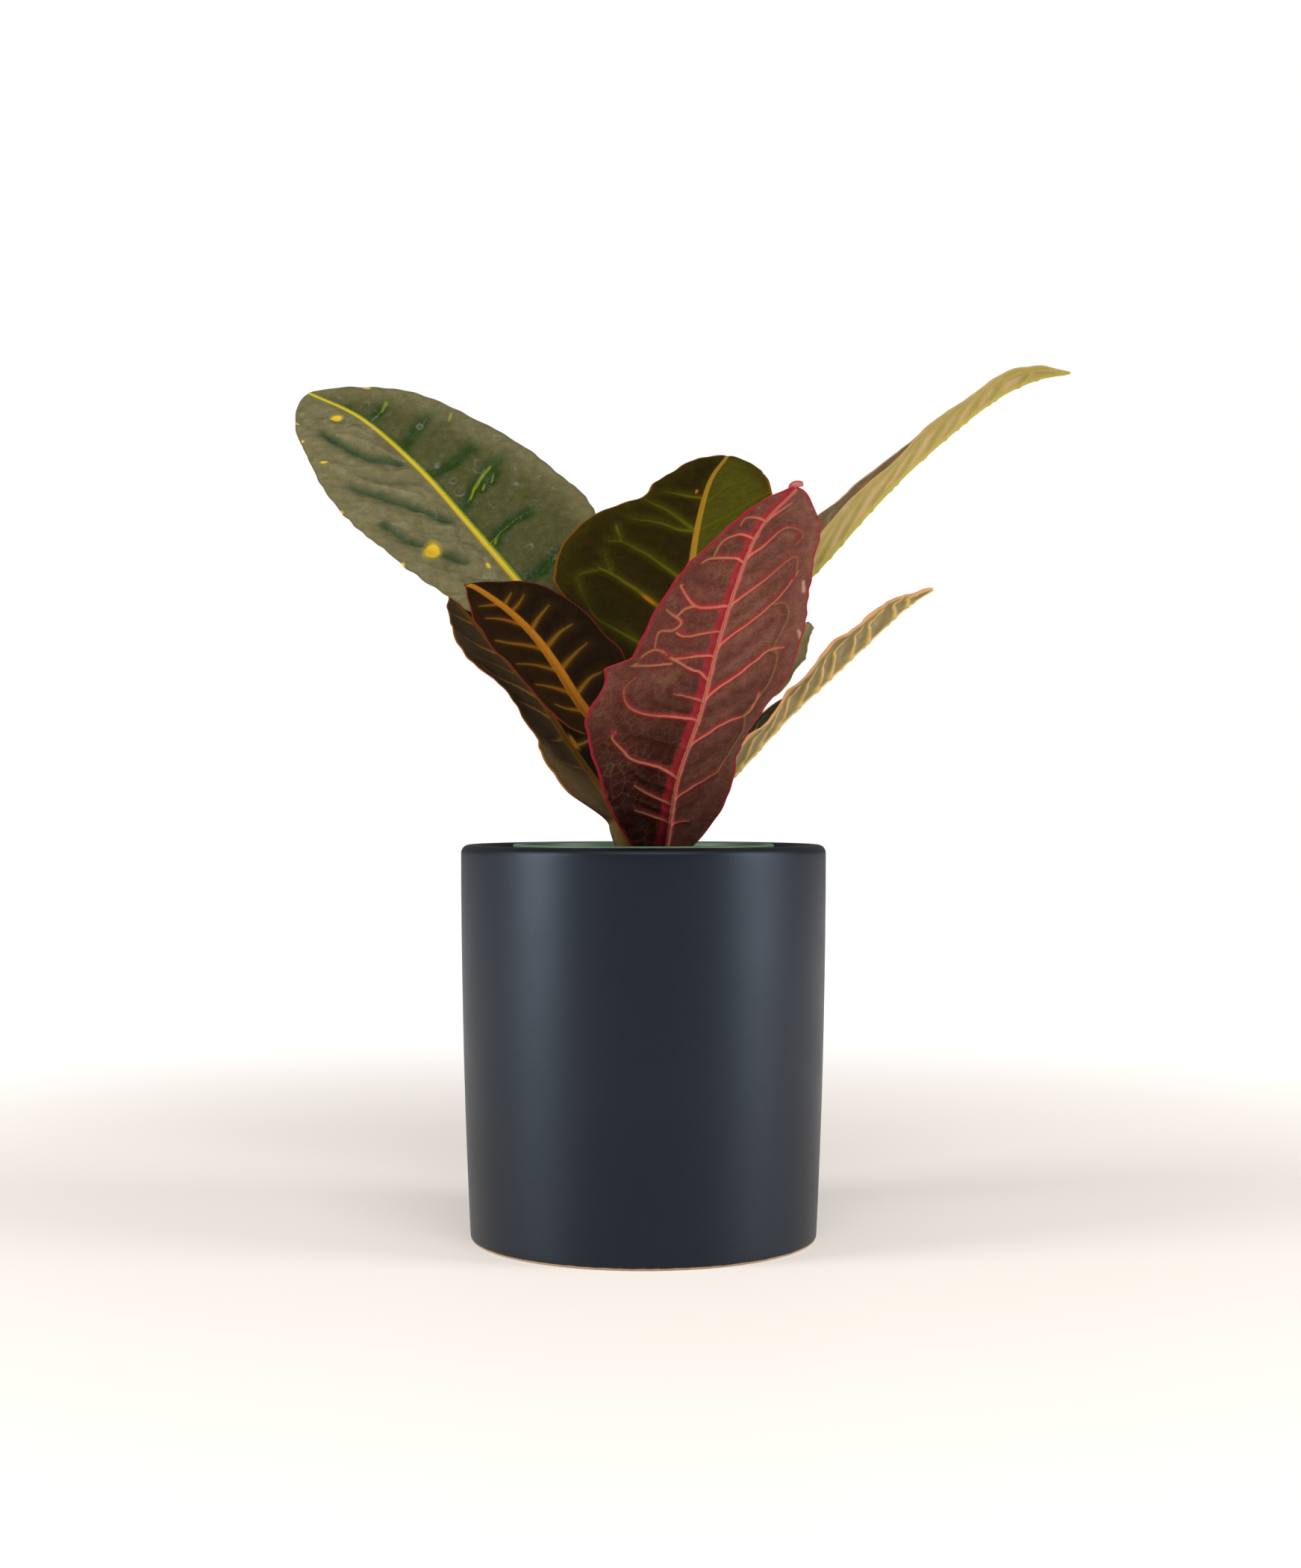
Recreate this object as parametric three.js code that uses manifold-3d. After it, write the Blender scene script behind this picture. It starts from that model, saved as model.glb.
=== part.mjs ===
// Potted croton: a woody stem with eight grown leaves and two young ones, standing in potting mix in a
// plastic nursery pot, which stands inside a matt ceramic cover pot.
// Millimetres, +Z up. The origin is the centre of the cover pot's flat foot. +X is the viewer's right and
// +Y points away from the viewer.

import * as THREE from "three";
import { mergeVertices } from "three/addons/utils/BufferGeometryUtils.js";
import Module from "manifold-3d";

const wasm = await Module();
wasm.setup();

// Driving dimensions

const GAP = 0.3; // clearance between pieces that touch on the real plant

const COVER_POT = {
  height: 129,
  topRadius: 60,
  footFlare: 3.2, // how much narrower the foot is than the top
  wall: 5.6,
  floor: 7,
  rimRound: 2.7,
  footRound: 1.4,
  insideRound: 6,
  sides: 48,
};

const NURSERY_POT = {
  rimTop: 129.8,
  rimRadius: 43,
  rimDepth: 9, // the rolled collar's height
  collarStep: 1.8, // how far the collar stands out of the wall
  collarRound: 0.6,
  footRadius: 33,
  footRound: 1.5,
  insideRound: 2,
  wall: 1.3,
  holeRadius: 3.4,
  holeCircle: 21,
  holes: 5,
  holeSides: 12,
  sides: 36,
};

const MIX = {
  top: 106, // mean height of the surface
  relief: 1.1,
  edgeRelief: 0.3, // share of the relief that is left against the pot
  bumps: [3, 5], // bumps round the surface, two sets that turn from ring to ring
  twist: [1.7, 0.9],
  moundHeight: 2.5, // rise towards the stem
  middle: 2, // radius of the innermost ring
  footRound: 3,
  rings: 6,
  sides: 32,
};

const STEM = {
  axis: [[0, 0, 77], [0, 0, 112], [1, 0.5, 140], [2, 2, 168.5]],
  footRadius: 5.2,
  topRadius: 3.3,
  nodeSwell: 0.5, // swelling where each leaf is attached
  nodeSpacing: 7,
  domeFrom: 0.94, // share of its length from which the top rounds off
  domeEnd: 0.22, // share of its radius that is left at the very top
  steps: 26,
  sides: 12,
};

const BLADE = {
  thickness: 0.8,
  thinnest: 0.35, // half-width where a blade is rounded off to nothing
  petioleRadius: 1.7,
  petioleShare: 0.03, // a short leaf's petiole radius, as a share of its length
  petioleTurn: 82, // degrees from a petiole's top to the middle of its side
  keelDepth: 1.2, // the midrib's ridge under the blade, at its root
  keelTaper: 0.8, // share of the ridge that is lost by the tip
  blend: 9, // length over which the petiole widens into the blade
  blendBefore: 0.3, // share of the blend that lies before the blade's root
  sideLag: 2.2, // how much later the left edge's waves come, in radians
  columns: [-1, -0.65, -0.2, 0, 0.2, 0.65, 1], // places across the blade
  ringStep: 5.2, // length of blade between two rings
  fewestRings: 9,
  evenSpacing: 0.55, // 1 spaces the rings evenly, 0 crowds them towards both ends
  petioleStep: 7,
  tipRound: 0.1, // share of the blade's length over which its end is rounded
  rootRound: 0.07,
  notch: 0.012, // share of the blade's length over which a lobe's edge falls back
};

// Each leaf's midrib runs from the stem's axis to the tip. left and right are the half-widths at tenths of
// the blade's length, seen from above with the tip pointing away, and the first and last are rounded off.
// facing is where the upper face looks, at the blade's root and at its tip. rise is how far the left and the
// right half fold up from flat, in degrees. wave is the height of the edge's waves and their number. A lobe
// stands out of the right edge: it ends in a notch at that share of the blade, and fades towards the root.
// petioleRadius is given where a stalk is thicker than the others.
const LEAVES = [
  {
    name: "leaf_green_upper_left",
    colour: 0x47523a,
    midrib: [[1, 1, 160], [-13, 22, 181], [-28, 39, 200], [-45, 58, 221], [-64, 78, 244], [-84, 96, 267],
      [-107, 112, 288], [-129, 124, 300]],
    petiole: 46,
    left: [7, 13, 21, 25.5, 31, 35, 37, 36.5, 31.5, 25, 15],
    right: [8, 16, 28, 37.5, 40.5, 38, 34, 30, 23, 14, 5.5],
    facing: [[-0.06, -0.72, 0.7], [-0.06, -0.72, 0.7]],
    rise: [6, 9],
    wave: [0.9, 4],
  },
  {
    name: "leaf_olive_back",
    colour: 0x3f3c12,
    midrib: [[2, 2, 163], [9, 17, 188], [15, 33, 214], [19, 51, 239], [24, 69, 258], [31, 86, 270]],
    petiole: 25,
    left: [15, 23, 36, 45.5, 48, 47, 38.5, 23.5, 19.5, 12, 7],
    right: [9, 18, 26, 30, 32, 32, 30, 25.5, 22, 16.5, 9],
    facing: [[-0.1, -0.75, 0.65], [-0.14, -0.72, 0.68]],
    rise: [3, 6],
    wave: [1.4, 3],
  },
  {
    name: "leaf_dark_orange_veined",
    colour: 0x2a190b,
    midrib: [[1, 1, 152], [-8, 6, 161], [-20, 12, 174], [-29, 18, 188], [-37, 23, 199], [-46, 28, 208],
      [-57, 33, 216], [-62, 36, 218]],
    petiole: 19,
    left: [4, 7.5, 11, 12, 13.5, 14.5, 15.5, 14.5, 12.5, 7, 0.5],
    right: [3, 9, 17.5, 21.5, 20.5, 19.5, 18, 16.5, 11.5, 5.5, 0.5],
    facing: [[-0.05, -0.75, 0.65], [-0.05, -0.75, 0.65]],
    rise: [8, 10],
    wave: [0.8, 4],
  },
  {
    name: "leaf_golden_lower_left",
    colour: 0x4a3d2c,
    midrib: [[0, 0, 115], [-7, 2, 129], [-11, 9, 140.5], [-17, 20, 150], [-27, 34, 164], [-37, 50, 179],
      [-54, 70, 198], [-71, 86, 217]],
    petiole: 24,
    petioleRadius: 2.5,
    left: [22, 22, 24, 18, 18, 24, 26, 27, 19, 10, 1],
    right: [6, 15, 19, 21, 21, 21, 20, 18, 14, 8, 1],
    facing: [[0.45, -0.3, 0.8], [0.45, -0.3, 0.8]],
    rise: [8, 8],
    wave: [0.9, 4],
  },
  {
    name: "leaf_red_front",
    colour: 0x5f3732,
    midrib: [[0, 0, 109], [4, -7, 119], [7, -14, 130], [10, -32, 150], [17, -52, 171], [23, -74, 195],
      [32, -94, 220], [43, -106, 232]],
    petiole: 14,
    left: [5.5, 17.5, 23, 24, 25, 30.5, 34, 30.5, 26.5, 23.5, 13],
    right: [6, 13, 21, 29, 36, 39, 30, 24.5, 18, 10.5, 5],
    lobe: { at: 0.605, length: 0.12, out: 8 },
    facing: [[-0.455, 0.574, 0.679], [-0.455, 0.574, 0.679]],
    rise: [2, 2],
    wave: [1.5, 3],
  },
  {
    name: "leaf_right_upper",
    colour: 0xa3935a,
    midrib: [[1, 1, 156], [23, 0, 186], [56, -2, 219], [75, 0, 240], [92, 4, 257], [115, 8, 276],
      [130, 10, 284], [143, 12, 287]],
    petiole: 28,
    left: [4, 13, 22, 27, 28.5, 22.5, 16.5, 16.5, 13.5, 8, 1],
    right: [4, 12, 19.5, 25, 26.5, 23.5, 22, 20.5, 17, 11.5, 2],
    facing: [[-0.6, -0.2, 0.75], [-0.3, -0.12, 0.95]],
    rise: [15, 25],
    wave: [0.5, 5],
  },
  {
    name: "leaf_right_lower",
    colour: 0x7d6f4a,
    midrib: [[1, 0, 127], [18.5, -2, 142.5], [30.5, -2, 153.5], [47, 0, 171], [60, 0, 183], [74, 0, 196],
      [86, -2, 207], [95, -4, 213]],
    petiole: 16,
    left: [4, 10, 16, 19, 20, 19, 17, 15, 11, 6, 1],
    right: [3, 8, 14, 15, 12.5, 16, 19, 18.5, 14.5, 10, 3],
    facing: [[-0.6, -0.1, 0.72], [-0.5, 0.05, 0.8]],
    rise: [14, 22],
    wave: [0.6, 5],
  },
  {
    name: "leaf_right_rear",
    colour: 0x6b6548,
    midrib: [[1, 1, 146], [17, 22, 162], [32, 50, 178], [45, 74, 194], [55, 92, 205], [61, 102, 210]],
    petiole: 22,
    left: [4, 11, 18, 22, 24, 24, 22, 18, 14, 9, 4],
    right: [4, 8, 12, 15, 17, 18, 18.5, 15.5, 12, 8.5, 4],
    facing: [[-0.2, -0.5, 0.8], [-0.2, -0.4, 0.9]],
    rise: [12, 12],
    wave: [1.0, 4],
  },
  {
    name: "leaf_young_tall",
    colour: 0x6f7a34,
    midrib: [[2, 2, 167], [5, -1, 176], [8, -3, 188], [12, -5, 199], [15, -6, 205]],
    petiole: 8,
    left: [1.5, 3, 4.5, 5.5, 6, 6, 5.5, 4.5, 3.5, 2, 0.6],
    right: [1.5, 3, 4.5, 5.5, 6, 6, 5.5, 4.5, 3.5, 2, 0.6],
    facing: [[-0.9, 0.2, 0.3], [-0.9, 0.2, 0.3]],
    rise: [38, 38],
    wave: [0, 2],
  },
  {
    name: "leaf_young_short",
    colour: 0x7b6a2c,
    midrib: [[1.5, 2.5, 167], [0, 5, 173], [-1.5, 6, 179], [-2.5, 6, 185]],
    petiole: 6,
    left: [1.2, 2.4, 3.4, 4, 4.2, 4, 3.6, 3, 2.2, 1.4, 0.5],
    right: [1.2, 2.4, 3.4, 4, 4.2, 4, 3.6, 3, 2.2, 1.4, 0.5],
    facing: [[0.6, -0.6, 0.3], [0.6, -0.6, 0.3]],
    rise: [36, 36],
    wave: [0, 2],
  },
];

// Geometry helpers

const rad = THREE.MathUtils.degToRad;

// A smooth curve through numbers that stand at even steps from t = 0 to t = 1.
function smoothList(values, t) {
  const last = values.length - 1;
  const before = 2 * values[0] - values[1];
  const after = 2 * values[last] - values[last - 1];
  const at = (i) => (i < 0 ? before : i > last ? after : values[i]);
  const x = Math.min(Math.max(t, 0), 1) * last;
  const i = Math.min(Math.floor(x), last - 1);
  const f = x - i;
  const [a, b, c, d] = [at(i - 1), at(i), at(i + 1), at(i + 2)];
  return 0.5 * (2 * b + (c - a) * f + (2 * a - 5 * b + 4 * c - d) * f * f + (3 * b - a - 3 * c + d) * f ** 3);
}

// Joins rings of the same number of points into one closed body, with a flat fan over the first and the last.
// The rings run anticlockwise seen against the way they follow each other.
function loft(rings) {
  const count = rings[0].length;
  const places = rings.flat().flatMap((p) => [p.x, p.y, p.z]);
  const faces = [];
  for (let i = 0; i < rings.length - 1; i++) {
    for (let k = 0; k < count; k++) {
      const next = (k + 1) % count;
      const [a, b] = [i * count + k, i * count + next];
      faces.push(a, b, b + count, a, b + count, a + count);
    }
  }
  const top = (rings.length - 1) * count;
  for (let k = 1; k < count - 1; k++) {
    faces.push(0, k + 1, k);
    faces.push(top, top + k, top + k + 1);
  }
  return geometryOf(places, faces);
}

function geometryOf(places, faces) {
  const geometry = new THREE.BufferGeometry();
  geometry.setAttribute("position", new THREE.Float32BufferAttribute(places, 3));
  geometry.setIndex(faces);
  return geometry;
}

// A solid of revolution round the Z axis from a closed profile of [radius, z] points, anticlockwise.
function revolve(profile, sides) {
  const outline = profile.map(([r, z]) => new THREE.Vector2(r, z));
  return new THREE.LatheGeometry([...outline, outline[0]], sides).rotateX(Math.PI / 2);
}

// Points of a quarter round between two directions, for a profile's corner.
function arc(centreR, centreZ, radius, from, to, steps) {
  return Array.from({ length: steps + 1 }, (_, i) => {
    const angle = rad(from + ((to - from) * i) / steps);
    return [centreR + radius * Math.cos(angle), centreZ + radius * Math.sin(angle)];
  });
}

// A mesh geometry as a solid that can be cut, and back.
function solidOf(geometry) {
  const bare = geometry.clone();
  bare.deleteAttribute("normal");
  bare.deleteAttribute("uv");
  const merged = mergeVertices(bare, 1e-4);
  return new wasm.Manifold(new wasm.Mesh({
    numProp: 3,
    vertProperties: new Float32Array(merged.attributes.position.array),
    triVerts: new Uint32Array(merged.index.array),
  }));
}

function geometryFrom(solid) {
  const mesh = solid.getMesh();
  return geometryOf([...mesh.vertProperties], [...mesh.triVerts]);
}

function curveThrough(points) {
  const places = points.map((p) => new THREE.Vector3(...p));
  const curve = new THREE.CatmullRomCurve3(places, false, "catmullrom", 0.5);
  curve.arcLengthDivisions = 400;
  return curve;
}

// Places along a curve with the directions of travel, at the given shares of its length.
function stations(curve, shares) {
  return shares.map((u) => ({ share: u, place: curve.getPointAt(u), way: curve.getTangentAt(u) }));
}

// Stem

// extra widens the stem all over, for the hole it stands in and for cutting the leaf stalks short of it.
function stemGeometry(extra) {
  const shares = Array.from({ length: STEM.steps + 1 }, (_, i) => i / STEM.steps);
  const side = new THREE.Vector3(1, 0, 0);
  const rings = stations(curveThrough(STEM.axis), shares).map(({ share, place, way }) => {
    const swell = STEM.nodeSwell * Math.max(0, Math.cos((2 * Math.PI * place.z) / STEM.nodeSpacing)) ** 4;
    const dome = Math.max(0, (share - STEM.domeFrom) / (1 - STEM.domeFrom));
    const domed = Math.max(STEM.domeEnd, Math.sqrt(1 - dome ** 2));
    const radius = THREE.MathUtils.lerp(STEM.footRadius, STEM.topRadius, share) * domed + swell + extra;
    const first = side.clone().addScaledVector(way, -side.dot(way)).normalize();
    const second = way.clone().cross(first);
    const lift = extra * (share === 0 ? -1 : share === 1 ? 1 : 0);
    return Array.from({ length: STEM.sides }, (_, k) => {
      const angle = (2 * Math.PI * k) / STEM.sides;
      return place.clone().addScaledVector(way, lift)
        .addScaledVector(first, radius * Math.cos(angle))
        .addScaledVector(second, radius * Math.sin(angle));
    });
  });
  return loft(rings);
}

// Leaves

function halfWidth(leaf, t, v) {
  const tip = Math.max(0, (t - (1 - BLADE.tipRound)) / BLADE.tipRound);
  const root = Math.max(0, (BLADE.rootRound - t) / BLADE.rootRound);
  const rounding = Math.sqrt(Math.max(0, 1 - tip * tip)) * Math.sqrt(Math.max(0, 1 - root * root));
  const width = smoothList(v < 0 ? leaf.left : leaf.right, t) + (v > 0 ? lobeWidth(leaf.lobe, t) : 0);
  return Math.max(BLADE.thinnest, width * rounding);
}

function lobeWidth(lobe, t) {
  if (!lobe || t > lobe.at + BLADE.notch) {
    return 0;
  }
  const reach = THREE.MathUtils.clamp((t - lobe.at + lobe.length) / lobe.length, 0, 1);
  const fall = THREE.MathUtils.clamp((lobe.at + BLADE.notch - t) / BLADE.notch, 0, 1);
  return lobe.out * reach ** 2 * fall;
}

// The surface of a blade at t along it and v across it, from -1 at the left edge to 1 at the right edge:
// how far the point lies to the right of the midrib and how far above it.
function acrossBlade(leaf, t, v) {
  const half = halfWidth(leaf, t, v);
  const rise = rad(leaf.rise[v < 0 ? 0 : 1]);
  const [height, count] = leaf.wave;
  const turn = 2 * Math.PI * count * t + (v < 0 ? BLADE.sideLag : 0);
  const waves = height * v * v * Math.sqrt(Math.max(0, Math.sin(Math.PI * t))) * Math.sin(turn);
  return [half * v * Math.cos(rise), half * Math.abs(v) * Math.sin(rise) + waves];
}

function leafShares(leaf, length) {
  const root = leaf.petiole / length;
  const stalkSteps = Math.max(2, Math.round(leaf.petiole / BLADE.petioleStep));
  const stalk = Array.from({ length: stalkSteps }, (_, i) => (root * i) / stalkSteps);
  const steps = Math.max(BLADE.fewestRings, Math.round((length - leaf.petiole) / BLADE.ringStep));
  const places = Array.from({ length: steps + 1 }, (_, i) => {
    const even = i / steps;
    const eased = 0.5 - 0.5 * Math.cos(Math.PI * even);
    return THREE.MathUtils.lerp(eased, even, BLADE.evenSpacing);
  });
  if (leaf.lobe) {
    const ends = [leaf.lobe.at, leaf.lobe.at + BLADE.notch];
    const clear = (t) => ends.every((end) => Math.abs(t - end) > BLADE.notch);
    places.splice(0, places.length, ...[...places.filter(clear), ...ends].sort((a, b) => a - b));
  }
  return [...stalk, ...places.map((t) => root + (1 - root) * t)];
}

function leafGeometry(leaf) {
  const curve = curveThrough(leaf.midrib);
  const length = curve.getLength();
  const root = leaf.petiole / length;
  const blendEnd = BLADE.blend * (1 - BLADE.blendBefore);
  const radius = Math.min(leaf.petioleRadius ?? BLADE.petioleRadius, BLADE.petioleShare * length);
  const [facingRoot, facingTip] = leaf.facing.map((f) => new THREE.Vector3(...f).normalize());
  const rings = stations(curve, leafShares(leaf, length)).map(({ share, place, way }) => {
    const t = THREE.MathUtils.clamp((share - root) / (1 - root), 0, 1);
    const up = facingRoot.clone().lerp(facingTip, t);
    up.addScaledVector(way, -up.dot(way)).normalize();
    const right = way.clone().cross(up);
    const flatness = THREE.MathUtils.smoothstep((share - root) * length, blendEnd - BLADE.blend, blendEnd);
    const keel = Math.min(radius, BLADE.keelDepth * (1 - BLADE.keelTaper * t));
    const pointAt = (v, lower) => {
      const [across, above] = acrossBlade(leaf, t, v);
      const round = rad(BLADE.petioleTurn * v);
      const sign = lower ? -1 : 1;
      const face = above + (sign * BLADE.thickness) / 2 - (lower && v === 0 ? keel : 0);
      const x = THREE.MathUtils.lerp(radius * Math.sin(round), across, flatness);
      const z = THREE.MathUtils.lerp(sign * radius * Math.cos(round), face, flatness);
      return place.clone().addScaledVector(right, x).addScaledVector(up, z);
    };
    return [
      ...BLADE.columns.map((v) => pointAt(v, false)),
      ...[...BLADE.columns].reverse().map((v) => pointAt(v, true)),
    ];
  });
  return bladeLoft(rings);
}

// Like loft, but the upper and the lower face are split into triangles along the same diagonals.
function bladeLoft(rings) {
  const count = rings[0].length;
  const columns = count / 2;
  const places = rings.flat().flatMap((p) => [p.x, p.y, p.z]);
  const faces = [];
  const quad = (a, b, c, d, flip) => faces.push(...(flip ? [a, b, d, b, c, d] : [a, b, c, a, c, d]));
  for (let i = 0; i < rings.length - 1; i++) {
    for (let k = 0; k < count; k++) {
      const next = (k + 1) % count;
      const [a, b] = [i * count + k, i * count + next];
      quad(a, b, b + count, a + count, k >= columns);
    }
  }
  const end = (rings.length - 1) * count;
  for (let k = 0; k < columns - 1; k++) {
    const under = count - 1 - k;
    faces.push(k, under - 1, k + 1, k, under, under - 1);
    faces.push(end + k, end + k + 1, end + under - 1, end + k, end + under - 1, end + under);
  }
  return geometryOf(places, faces);
}

// Potting mix: filled between the nursery pot's floor and an uneven surface, with a plain hole for the stem.

function mixRadius(z) {
  return nurseryInside(z) - GAP;
}

function mixGeometry(bottom) {
  const rings = [];
  const ring = (radius, heightAt) => rings.push(Array.from({ length: MIX.sides }, (_, k) => {
    const angle = (2 * Math.PI * k) / MIX.sides;
    return new THREE.Vector3(radius * Math.cos(angle), radius * Math.sin(angle), heightAt(angle));
  }));
  ring(mixRadius(bottom) - MIX.footRound, () => bottom);
  ring(mixRadius(bottom + MIX.footRound), () => bottom + MIX.footRound);
  const edge = mixRadius(MIX.top);
  for (let i = 0; i < MIX.rings; i++) {
    const radius = THREE.MathUtils.lerp(edge, MIX.middle, i / MIX.rings);
    const mound = MIX.moundHeight * (1 - radius / edge);
    const relief = MIX.relief * (i ? 1 : MIX.edgeRelief);
    ring(radius, (angle) => MIX.top + mound
      + relief * Math.sin(MIX.bumps[0] * angle + MIX.twist[0] * i)
        * Math.cos(MIX.bumps[1] * angle - MIX.twist[1] * i));
  }
  return loft(rings);
}

// Pots

function coverRadius(z) {
  return COVER_POT.topRadius - COVER_POT.footFlare * ((COVER_POT.height - z) / COVER_POT.height) ** 2;
}

function coverPotGeometry() {
  const { height, wall, floor, rimRound, footRound, insideRound, sides } = COVER_POT;
  const heights = [20, 48, 80, 110];
  const outer = heights.map((z) => [coverRadius(z), z]);
  const inner = [...heights].reverse().map((z) => [coverRadius(z) - wall, z]);
  const rim = coverRadius(height - rimRound);
  const inside = coverRadius(floor + insideRound) - wall;
  return revolve([
    [0, 0],
    ...arc(coverRadius(footRound) - footRound, footRound, footRound, -90, 0, 3),
    ...outer,
    ...arc(rim - rimRound, height - rimRound, rimRound, 0, 90, 4),
    ...arc(rim - wall + rimRound, height - rimRound, rimRound, 90, 180, 4),
    ...inner,
    ...arc(inside - insideRound, floor + insideRound, insideRound, 0, -90, 4),
    [0, floor],
  ], sides);
}

function nurseryOutside(z) {
  const { rimTop, rimRadius, collarStep, footRadius } = NURSERY_POT;
  const foot = COVER_POT.floor + GAP;
  return footRadius + (rimRadius - collarStep - footRadius) * ((z - foot) / (rimTop - foot));
}

function nurseryInside(z) {
  return nurseryOutside(z) - NURSERY_POT.wall;
}

function nurseryPotGeometry() {
  const { rimTop, rimRadius, rimDepth, collarRound, footRound, insideRound, wall, sides } = NURSERY_POT;
  const { holeRadius, holeCircle, holes, holeSides } = NURSERY_POT;
  const foot = COVER_POT.floor + GAP;
  const collar = rimTop - rimDepth;
  const lip = rimRadius - wall;
  const insideFoot = foot + wall + insideRound;
  let drained = solidOf(revolve([
    [0, foot],
    [nurseryOutside(foot) - footRound, foot],
    [nurseryOutside(foot + footRound), foot + footRound],
    [nurseryOutside(collar), collar],
    [rimRadius - collarRound, collar],
    [rimRadius, collar + collarRound],
    [rimRadius, rimTop - collarRound],
    [rimRadius - collarRound, rimTop],
    [lip, rimTop],
    [lip - collarRound, rimTop - collarRound],
    [nurseryInside(collar), collar + wall],
    [nurseryInside(insideFoot), insideFoot],
    [nurseryInside(foot) - insideRound, foot + wall],
    [0, foot + wall],
  ], sides));
  for (let i = 0; i < holes; i++) {
    const angle = (2 * Math.PI * i) / holes;
    const drill = new THREE.CylinderGeometry(holeRadius, holeRadius, 4 * wall, holeSides)
      .rotateX(Math.PI / 2)
      .translate(holeCircle * Math.cos(angle), holeCircle * Math.sin(angle), foot);
    drained = drained.subtract(solidOf(drill));
  }
  return geometryFrom(drained);
}

// Assembly

const croton = new THREE.Group();

function add(name, geometry, colour, roughness, metalness = 0) {
  const material = new THREE.MeshStandardMaterial({ color: colour, roughness, metalness });
  const mesh = new THREE.Mesh(geometry, material);
  mesh.name = name;
  croton.add(mesh);
}

const stemRoom = solidOf(stemGeometry(GAP));
const mixBottom = COVER_POT.floor + GAP + NURSERY_POT.wall + GAP;

add("ceramic_pot", coverPotGeometry(), 0x23262f, 0.45);
add("nursery_pot", nurseryPotGeometry(), 0x4f8a5a, 0.5);
add("potting_mix", geometryFrom(solidOf(mixGeometry(mixBottom)).subtract(stemRoom)), 0x2a1f17, 0.95);
add("stem", stemGeometry(0), 0x6b5a3c, 0.8);
for (const leaf of LEAVES) {
  add(leaf.name, geometryFrom(solidOf(leafGeometry(leaf)).subtract(stemRoom)), leaf.colour, 0.4);
}

export default croton;
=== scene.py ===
"""Looks of the potted croton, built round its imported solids.

Sizes are in millimetres and become metres where a mesh or a material is made, but for the studio, which is in
metres. The frame is the part's own: +Z up, the origin at the centre of the cover pot's foot, +X to the right
and +Y away.
"""

from __future__ import annotations

import logging
import math
from dataclasses import dataclass, field
from enum import Enum
from functools import partial, reduce

import bmesh
import bpy
import numpy as np
from mathutils import Matrix, Vector

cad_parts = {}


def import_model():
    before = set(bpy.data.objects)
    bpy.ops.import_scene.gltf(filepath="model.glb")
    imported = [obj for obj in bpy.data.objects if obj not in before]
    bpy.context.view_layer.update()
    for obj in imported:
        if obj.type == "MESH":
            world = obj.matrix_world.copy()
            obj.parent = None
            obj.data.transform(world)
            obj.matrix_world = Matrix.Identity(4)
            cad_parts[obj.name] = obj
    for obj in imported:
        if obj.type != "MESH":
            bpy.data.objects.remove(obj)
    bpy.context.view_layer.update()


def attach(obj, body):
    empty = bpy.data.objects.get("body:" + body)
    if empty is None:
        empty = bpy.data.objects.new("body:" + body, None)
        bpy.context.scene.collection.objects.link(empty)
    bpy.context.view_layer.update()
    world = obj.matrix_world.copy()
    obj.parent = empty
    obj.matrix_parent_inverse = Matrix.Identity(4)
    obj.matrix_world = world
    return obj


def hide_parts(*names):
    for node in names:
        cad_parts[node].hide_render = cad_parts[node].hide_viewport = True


LOG = logging.getLogger("croton")

MM = 0.001
GAP = 0.3  # clearance between pieces that touch on the real plant
FULL_TURN = 2 * math.pi
BAKE_MAP = "OFBake"
FOLD_TONE = -1.0  # the tone that marks a fold in a leaf's mesh

Colour = tuple[float, float, float, float]
Point = tuple[float, float, float]
Path = tuple[tuple[float, float], ...]
Socket = bpy.types.NodeSocket


def paint(red: int, green: int, blue: int) -> Colour:
    """Turn a colour in screen values into the linear values that a shader takes.

    Args:
        red: Red, from 0 to 255.
        green: Green, from 0 to 255.
        blue: Blue, from 0 to 255.

    Returns:
        The linear colour with full alpha.
    """

    def linear(value: int) -> float:
        """Turn one screen value into a linear one, by the standard curve."""
        share = value / 255
        return share / 12.92 if share <= 0.04045 else ((share + 0.055) / 1.055) ** 2.4

    return (linear(red), linear(green), linear(blue), 1.0)


def smoothstep(value: np.ndarray, low: float, high: float) -> np.ndarray:
    """Return 0 below low, 1 above high and a smooth step between them."""
    share = np.clip((value - low) / (high - low), 0, 1)
    return share * share * (3 - 2 * share)


def spline(knots: np.ndarray, place: np.ndarray) -> np.ndarray:
    """Read a smooth curve through knots that stand at even steps.

    Args:
        knots: A number or a row for each knot.
        place: Where to read it: 0 at the first knot, 1 at the second.

    Returns:
        The curve's number or row at each place.
    """
    padded = np.concatenate([[2 * knots[0] - knots[1]], knots, [2 * knots[-1] - knots[-2]]])
    first = np.minimum(place.astype(int), len(knots) - 2)
    f = place - first
    if knots.ndim > 1:
        f = f[:, None]
    a, b, c, d = (padded[first + step] for step in range(4))
    return 0.5 * (2 * b + (c - a) * f + (2 * a - 5 * b + 4 * c - d) * f**2 + (3 * b - a - 3 * c + d) * f**3)


def smooth_list(values: tuple[float, ...], share: np.ndarray) -> np.ndarray:
    """Read the smooth curve through numbers that stand at even steps from share 0 to share 1."""
    return spline(np.array(values, float), np.clip(share, 0, 1) * (len(values) - 1))


def between(ends: tuple[float, float], share: np.ndarray) -> np.ndarray:
    """Go evenly from the first of two values to the second."""
    return ends[0] + (ends[1] - ends[0]) * share


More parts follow.
